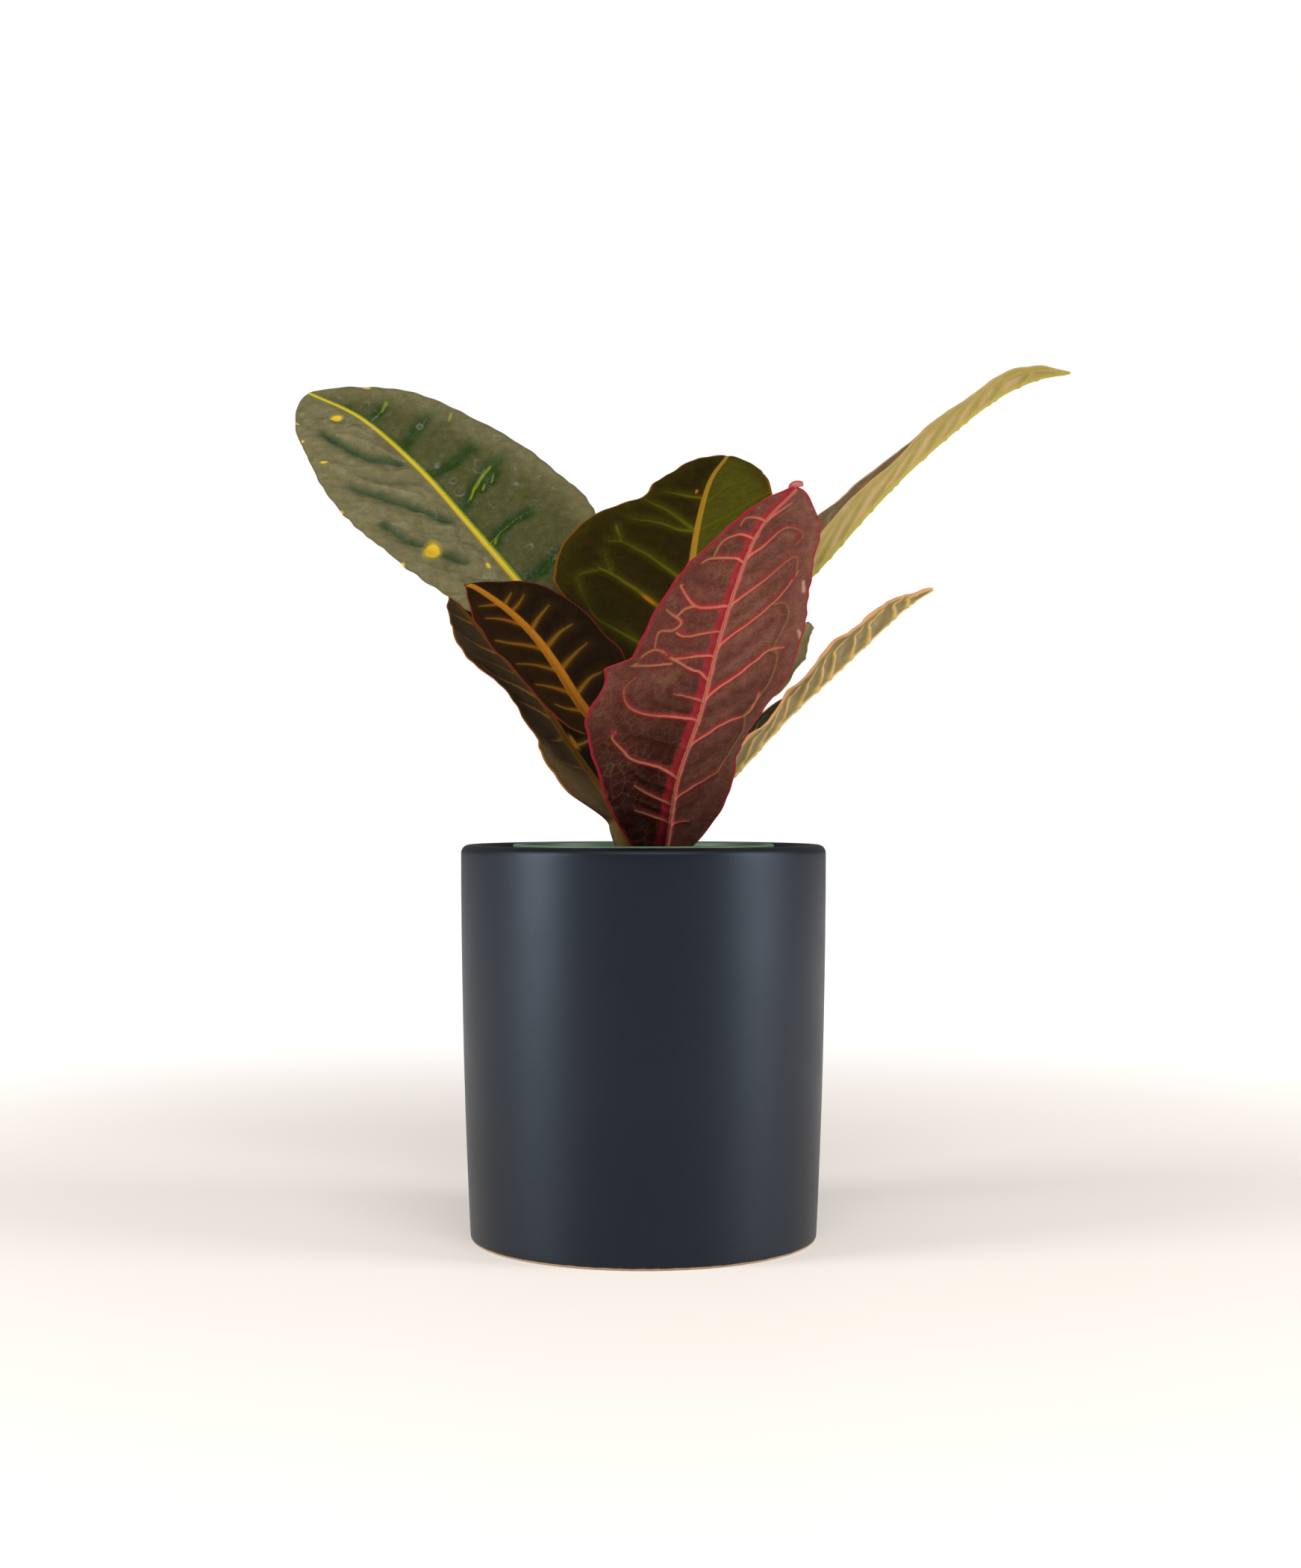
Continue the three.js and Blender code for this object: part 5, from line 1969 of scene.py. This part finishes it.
RED_VEINS = (
    Vein(((0.91, -0.5), (0.94, -2), (0.965, -3)), (0.7, 0.6), (0, 0.4)),
    Vein(((0.82, -0.5), (0.85, -5), (0.895, -9), (0.89, -15), (0.87, -18), (0.845, -16.5)), (0.8, 0.5),
         (0, 1.5)),
    Vein(((0.71, -0.5), (0.735, -5), (0.765, -10.5), (0.805, -15.5), (0.815, -19), (0.775, -21)),
         (0.8, 0.5), (0, 1.4)),
    Vein(((0.61, -0.5), (0.64, -5.5), (0.665, -11), (0.695, -16), (0.725, -19), (0.78, -21.5)), (0.8, 0.5),
         (0, 0.6), 1.4),
    Vein(((0.695, -16), (0.695, -21.5), (0.655, -25), (0.62, -24.5), (0.565, -21.5)), (0.6, 0.5), (0.9, 1),
         0.1),
    Vein(((0.475, -0.5), (0.505, -5), (0.52, -10), (0.55, -16.5), (0.57, -21), (0.565, -26.5)), (0.9, 0.6),
         (0, 0.2), 1.8),
    Vein(((0.565, -22), (0.555, -24), (0.525, -24.5), (0.48, -23), (0.415, -17.5)), (0.6, 0.5), (0.9, 1),
         0.1),
    Vein(((0.35, -0.5), (0.38, -6), (0.4, -12), (0.41, -18), (0.435, -20), (0.465, -20.5)), (0.9, 0.6),
         (0, 0.2), 1.2),
    Vein(((0.41, -18), (0.38, -20), (0.345, -20.5), (0.285, -18.5)), (0.6, 0.5), (0.9, 1), 0.1),
    Vein(((0.2, -0.5), (0.22, -6), (0.23, -10.5), (0.245, -15.5), (0.265, -17), (0.285, -18.5)),
         (0.8, 0.6)),
    Vein(((0.13, -0.5), (0.13, -4), (0.125, -7.5)), (0.7, 0.6), (0, 0.6)),
    Vein(((0.91, 0.5), (0.915, 5), (0.91, 8), (0.895, 8)), (0.7, 0.6), (0.2, 0.8), 0.8),
    Vein(((0.865, 0.5), (0.875, 5.5), (0.87, 8.5), (0.855, 11), (0.825, 11.5)), (0.7, 0.6), (0, 0.8)),
    Vein(((0.81, 0.5), (0.82, 4), (0.82, 12), (0.81, 14.5)), (0.7, 0.6), (0, 0.5)),
    Vein(((0.71, 0.5), (0.71, 6), (0.715, 12), (0.755, 18), (0.76, 18)), (0.8, 0.6), (0, 0.4), 1.6),
    Vein(((0.715, 12), (0.71, 15), (0.695, 17.5), (0.71, 21)), (0.7, 0.6), (0.2, 0.8), 0.6),
    Vein(((0.695, 17.5), (0.68, 15), (0.665, 17.5), (0.665, 22), (0.63, 22)), (0.7, 0.6), (0.3, 0.9), 0.6),
    Vein(((0.65, 0.5), (0.65, 6.5), (0.65, 13), (0.66, 16)), (0.7, 0.6), (0.4, 0.3), 0.8),
    Vein(((0.59, 0.5), (0.598, 7), (0.6, 14.4), (0.622, 18.9), (0.629, 22.2), (0.622, 25.6), (0.6, 27.8)),
         (0.7, 0.6), (0, 0.9)),
    Vein(((0.53, 0.5), (0.555, 4), (0.565, 7), (0.6, 14.5)), (0.7, 0.7), (0, 0.3), 0.9),
    Vein(((0.59, 15), (0.595, 22), (0.605, 29.5)), (0.7, 0.6), (0.3, 0.8), 0.4),
    Vein(((0.475, 0.5), (0.49, 5), (0.51, 11.5)), (0.7, 0.6), (0.2, 0.9), 0.8),
    Vein(((0.425, 0.5), (0.445, 9.5), (0.46, 18), (0.485, 24.5), (0.515, 28),
         (0.545, 29.5), (0.565, 28.5), (0.575, 26.5)), (0.8, 0.5), (0, 1.1), 1.2),
    Vein(((0.265, 0.5), (0.305, 8.5), (0.335, 19), (0.36, 23), (0.4, 28.5), (0.42, 28)), (0.8, 0.6),
         (0, 0.7), 0.8),
    Vein(((0.19, 0.5), (0.23, 8.5), (0.265, 15.5)), (0.7, 0.6), (0.3, 1), 0.6),
    Vein(((0.14, 0.5), (0.18, 9), (0.2, 13.5)), (0.7, 0.6), (0.3, 1), 0.6),
    Vein.fold(((0.715, -28), (0.73, -27), (0.745, -26)), (1.8, 1.4), 0.5),
    Vein.fold(((0.575, -33), (0.585, -32.5), (0.595, -31.5)), (1.8, 1.4), 0.5),
)
RED_SPOTS = (
    Spot(0.66, 14, 1.8, 0.6, 70),
    Spot(0.415, 28.5, 1.5, 0.6, 40),
    Spot(0.865, -17, 1.6, 0.5, 30),
    Spot(0.765, -20.5, 1.4, 0.6, 20),
)


def make_leaves() -> list[Leaf]:
    """List the leaves of the plant, from the topmost on the left to the growing tip.

    Returns:
        The leaves.
    """
    young = {"slot": "young_leaf", "upper": YOUNG_FACE, "under": YOUNG_FACE}
    young |= {"wave": (0, 2), "quilt": (0.1, 0.1), "thickness": 0.6}
    return [
        Leaf(
            name="leaf_green_upper_left", slot="green_leaf",
            midrib=((1, 1, 160), (-13, 22, 181), (-28, 39, 200), (-45, 58, 221), (-64, 78, 244),
                    (-84, 96, 267), (-107, 112, 288), (-129, 124, 300)),
            petiole=46, left=(7, 13, 21, 25.5, 31, 35, 37, 36.5, 31.5, 25, 15),
            right=(8, 16, 28, 37.5, 40.5, 38, 34, 30, 23, 14, 5.5),
            facing=((-0.06, -0.72, 0.7),) * 2, rise=(6, 9), wave=(0.9, 4),
            upper=GREEN_UPPER, under=GREEN_UNDER, veins=GREEN_VEINS, spots=GREEN_SPOTS,
            quilt=(2.4, 1.3), rows=300, columns=46, seed=1,
        ),
        Leaf(
            name="leaf_olive_back", slot="olive_leaf",
            midrib=((2, 2, 163), (9, 17, 188), (15, 33, 214), (19, 51, 239), (24, 69, 258), (31, 86, 270)),
            petiole=25, left=(15, 23, 36, 45.5, 48, 47, 38.5, 23.5, 19.5, 12, 7),
            right=(9, 18, 26, 30, 32, 32, 30, 25.5, 22, 16.5, 9),
            facing=((-0.1, -0.75, 0.65), (-0.14, -0.72, 0.68)), rise=(3, 6), wave=(1.4, 3),
            upper=OLIVE_UPPER, under=OLIVE_UNDER, veins=OLIVE_VEINS, spots=OLIVE_SPOTS,
            quilt=(0.9, 0.9), rows=200, columns=56, seed=2,
        ),
        Leaf(
            name="leaf_dark_orange_veined", slot="dark_leaf",
            midrib=((1, 1, 152), (-8, 6, 161), (-20, 12, 174), (-29, 18, 188), (-37, 23, 199), (-46, 28, 208),
                    (-57, 33, 216), (-62, 36, 218)),
            petiole=19, left=(4, 7.5, 11, 12, 13.5, 14.5, 15.5, 14.5, 12.5, 7, 0.5),
            right=(3, 9, 17.5, 21.5, 20.5, 19.5, 18, 16.5, 11.5, 5.5, 0.5),
            facing=((-0.05, -0.75, 0.65),) * 2, rise=(8, 10), wave=(0.8, 4),
            upper=DARK_UPPER, under=DARK_UNDER, veins=DARK_VEINS,
            quilt=(0.5, 0.5), rows=220, columns=38, seed=3,
        ),
        Leaf(
            name="leaf_golden_lower_left", slot="golden_veined_leaf",
            midrib=((0, 0, 115), (-7, 2, 129), (-11, 9, 140.5), (-17, 20, 150), (-27, 34, 164),
                    (-37, 50, 179), (-54, 70, 198), (-71.5, 87, 219)),
            petiole=24, left=(22, 22, 24, 18, 18, 24, 26, 27, 19, 11.5, 3),
            right=(6, 15, 19, 21, 21, 21, 20, 18, 14, 9.5, 3),
            facing=((0.45, -0.3, 0.8),) * 2, rise=(8, 8), wave=(0.9, 4),
            upper=GOLDEN_UPPER, under=DARK_UNDER, veins=GOLDEN_VEINS,
            spots=(Spot(0.48, 2.0, 5.0, 1.0), Spot(0.325, 3.0, 4.0, 1.0)),
            quilt=(0.6, 0.6), rows=260, columns=36, seed=4, petiole_radius=2.5,
        ),
        Leaf(
            name="leaf_red_front", slot="red_leaf",
            midrib=((0, 0, 109), (4, -7, 119), (7, -14, 130), (10, -32, 150), (17, -52, 171), (23, -74, 195),
                    (32, -94, 220), (43, -106, 232)),
            petiole=14, left=(5.5, 17.5, 23, 24, 25, 30.5, 34, 30.5, 26.5, 23.5, 13),
            right=(6, 13, 21, 29, 36, 39, 30, 24.5, 18, 10.5, 5), lobe=Lobe(0.605, 0.12, 8),
            facing=((-0.455, 0.574, 0.679),) * 2, rise=(2, 2), wave=(1.5, 3),
            upper=RED_UPPER, under=RED_UNDER, veins=RED_VEINS, spots=RED_SPOTS,
            quilt=(0.7, 0.7), rows=308, columns=68, seed=5, between=0.6,
        ),
        Leaf(
            name="leaf_red_front_curl", slot="red_leaf", whole=False,
            midrib=((41.8, -105, 231), (42.6, -105.4, 232.4), (43.8, -105.6, 232.9), (45.2, -105.4, 232.9)),
            petiole=0.2, left=(0.9, 1.2, 1.0, 0.7, 0.4),
            facing=((-0.3, 0.9, 0.4), (0.1, 0.9, 0.4)), rise=(0, 0), wave=(0, 1), blend=0.5, thickness=0.5,
            upper=RED_CURL, under=RED_CURL, quilt=(0, 0), rows=24, columns=8, seed=12,
        ),
        Leaf(
            name="leaf_right_upper", slot="yellow_olive_leaf",
            midrib=((1, 1, 156), (23, 0, 186), (56, -2, 219), (75, 0, 240), (92, 4, 257), (115, 8, 276),
                    (130, 10, 284), (143, 12, 287)),
            petiole=28, left=(4, 13, 22, 27, 28.5, 22.5, 16.5, 16.5, 13.5, 8, 1),
            right=(4, 12, 19.5, 25, 26.5, 23.5, 22, 20.5, 17, 11.5, 2),
            facing=((-0.6, -0.2, 0.75), (-0.3, -0.12, 0.95)), rise=(15, 25), wave=(0.5, 5),
            ribs=(
                Ribs.even(11, 0.18, 1.1),
                Ribs((0.07, 0.13, 0.2, 0.27, 0.335, 0.405, 0.495, 0.57, 0.65, 0.705, 0.76, 0.82, 0.89), 0.18,
                     1.1, (3.0, 2.0)),
            ),
            upper=YELLOW_UPPER, under=YELLOW_UNDER, quilt=(0.8, 0.8), rows=320, columns=34, seed=6,
            ruffle=0.05,
        ),
        Leaf(
            name="leaf_right_lower", slot="grey_olive_leaf",
            midrib=((1, 0, 127), (18.5, -2, 142.5), (30.5, -2, 153.5), (47, 0, 171), (60, 0, 183),
                    (74, 0, 196), (86, -2, 207), (95, -4, 213)),
            petiole=16, left=(4, 10, 16, 19, 20, 19, 17, 15, 11, 6, 1),
            right=(3, 8, 14, 15, 12.5, 16, 19, 18.5, 14.5, 10, 3),
            facing=((-0.6, -0.1, 0.72), (-0.5, 0.05, 0.8)), rise=(14, 22), wave=(0.6, 5),
            ribs=(
                Ribs.even(11, 0.15, 1.1),
                Ribs((0.07, 0.14, 0.22, 0.305, 0.385, 0.475, 0.545, 0.60, 0.685, 0.755, 0.86, 0.91), 0.15,
                     1.1, (2.0, 0.5)),
            ),
            upper=GREY_UPPER, under=GREY_UNDER, quilt=(1.1, 1.4), rows=260, columns=32, seed=7,
        ),
        Leaf(
            name="leaf_right_rear", slot="rear_leaf",
            midrib=((1, 1, 146), (17, 22, 162), (32, 50, 178), (45, 74, 194), (55, 92, 205), (61, 102, 210)),
            petiole=22, left=(4, 11, 18, 22, 24, 24, 22, 18, 14, 9, 4),
            right=(4, 8, 12, 15, 17, 18, 18.5, 15.5, 12, 8.5, 4),
            facing=((-0.2, -0.5, 0.8), (-0.2, -0.4, 0.9)), rise=(12, 12), wave=(1.0, 4),
            ribs=(Ribs.even(10, 0.12),) * 2, upper=REAR_UPPER, under=OLIVE_UNDER,
            quilt=(0.9, 0.9), rows=240, columns=32, seed=8,
        ),
        Leaf(
            name="leaf_young_tall", **young,
            midrib=((2, 2, 167), (5, -1, 176), (8, -3, 188), (12, -5, 199), (15, -6, 205)),
            petiole=8, left=(1.5, 3, 4.5, 5.5, 6, 6, 5.5, 4.5, 3.5, 2, 0.6),
            facing=((-0.9, 0.2, 0.3),) * 2, rise=(38, 38),
            ribs=(Ribs.even(8, width=(0.5, 0.3)),) * 2, rows=110, columns=16, seed=9,
        ),
        Leaf(
            name="leaf_young_short", **young,
            midrib=((1.5, 2.5, 167), (0, 5, 173), (-1.5, 6, 179), (-2.5, 6, 185)),
            petiole=6, left=(1.2, 2.4, 3.4, 4, 4.2, 4, 3.6, 3, 2.2, 1.4, 0.5),
            facing=((0.6, -0.6, 0.3),) * 2, rise=(36, 36),
            ribs=(Ribs.even(6, width=(0.4, 0.3)),) * 2, rows=80, columns=14, seed=10,
        ),
    ]


@dataclass
class Studio:
    """The pale floor, the soft lights and the camera. Sizes and places are in metres."""

    camera_back: float = 0.740
    camera_height: float = 0.144
    lens: float = 51.5
    sensor: float = 36
    shift: tuple[float, float] = (0.0045, 0.0095)
    aim: Point = (0, 0, 0.16)
    world_light: float = 0.22
    floor_radius: float = 2.4
    floor_fade: tuple[float, float] = (0.15, 1.0)
    floor_glow: tuple[float, float] = (0.2, 0.82)

    def build(self) -> None:
        """Set up everything round the object."""
        self.floor()
        self.world()
        self.lamp("left_window", (-1.1, -0.46, 0.4), (0.45, 1.0), 13)
        self.lamp("right_window", (1.12, -0.34, 0.4), (0.45, 1.0), 11)
        self.lamp("overhead", (0.1, -0.7, 1.2), (0.9, 0.9), 9)
        self.camera()

    def camera(self) -> None:
        """Set the camera level before the plant."""
        scene = bpy.context.scene
        data = bpy.data.cameras.new("view")
        data.lens = self.lens
        data.sensor_width = self.sensor
        data.shift_x, data.shift_y = self.shift
        camera = linked("view", data)
        camera.location = (0, -self.camera_back, self.camera_height)
        camera.rotation_euler = (math.pi / 2, 0, 0)
        scene.camera = camera
        scene.view_settings.view_transform = "Standard"

    def lamp(self, name: str, place: Point, size: tuple[float, float], power: float) -> None:
        """Add a soft light that looks at the plant.

        Args:
            name: Its name.
            place: Where it stands.
            size: Its width and height.
            power: Its power in watts.
        """
        data = bpy.data.lights.new(name, "AREA")
        data.shape = "RECTANGLE"
        data.size, data.size_y = size
        data.energy = power
        lamp = linked(name, data)
        lamp.location = place
        lamp.rotation_euler = (Vector(self.aim) - Vector(place)).to_track_quat("-Z", "Y").to_euler()

    def world(self) -> None:
        """Give a surrounding that is white to the camera and lights the plant gently."""
        world = bpy.data.worlds.new("studio")
        bpy.context.scene.world = world
        world.use_nodes = True
        tree = world.node_tree
        shade = next(node for node in tree.nodes if node.type == "BACKGROUND")
        path = tree.nodes.new("ShaderNodeLightPath")
        strength = tree.nodes.new("ShaderNodeMapRange")
        strength.inputs["To Min"].default_value = self.world_light
        strength.inputs["To Max"].default_value = 1.0
        tree.links.new(path.outputs["Is Camera Ray"], strength.inputs["Value"])
        tree.links.new(strength.outputs["Result"], shade.inputs["Strength"])
        shade.inputs["Color"].default_value = (1, 1, 1, 1)

    def floor(self) -> None:
        """Lay a pale round floor that fades into the white surrounding."""
        work = bmesh.new()
        bmesh.ops.create_circle(work, cap_ends=True, segments=96, radius=self.floor_radius)
        mesh = bpy.data.meshes.new("floor")
        work.to_mesh(mesh)
        work.free()
        graph = Graph("pale_floor", 0.55)
        away = graph.node("ShaderNodeVectorMath", {0: graph.place()}, operation="LENGTH")
        fade = graph.step(away.outputs["Value"], *self.floor_fade)
        white = paint(255, 255, 255)
        graph.colour(graph.blend(fade, paint(236, 228, 220), white))
        low, high = self.floor_glow
        graph.put(graph.shader.inputs["Emission Color"], graph.blend(fade, paint(255, 247, 240), white))
        graph.put(graph.shader.inputs["Emission Strength"], graph.scale(fade, high - low, low))
        mesh.materials.append(graph.material)
        floor = linked("floor", mesh)


def main() -> None:
    """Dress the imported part."""
    logging.basicConfig(level=logging.INFO, format="%(name)s: %(message)s")
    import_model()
    Studio().build()
    pot = CoverPot()
    pot.build()
    nursery = NurseryPot(pot)
    nursery.build()
    PottingMix(nursery).build()
    Stem().build()
    for leaf in make_leaves():
        leaf.build()
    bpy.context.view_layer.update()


if __name__ == "__main__":
    main()
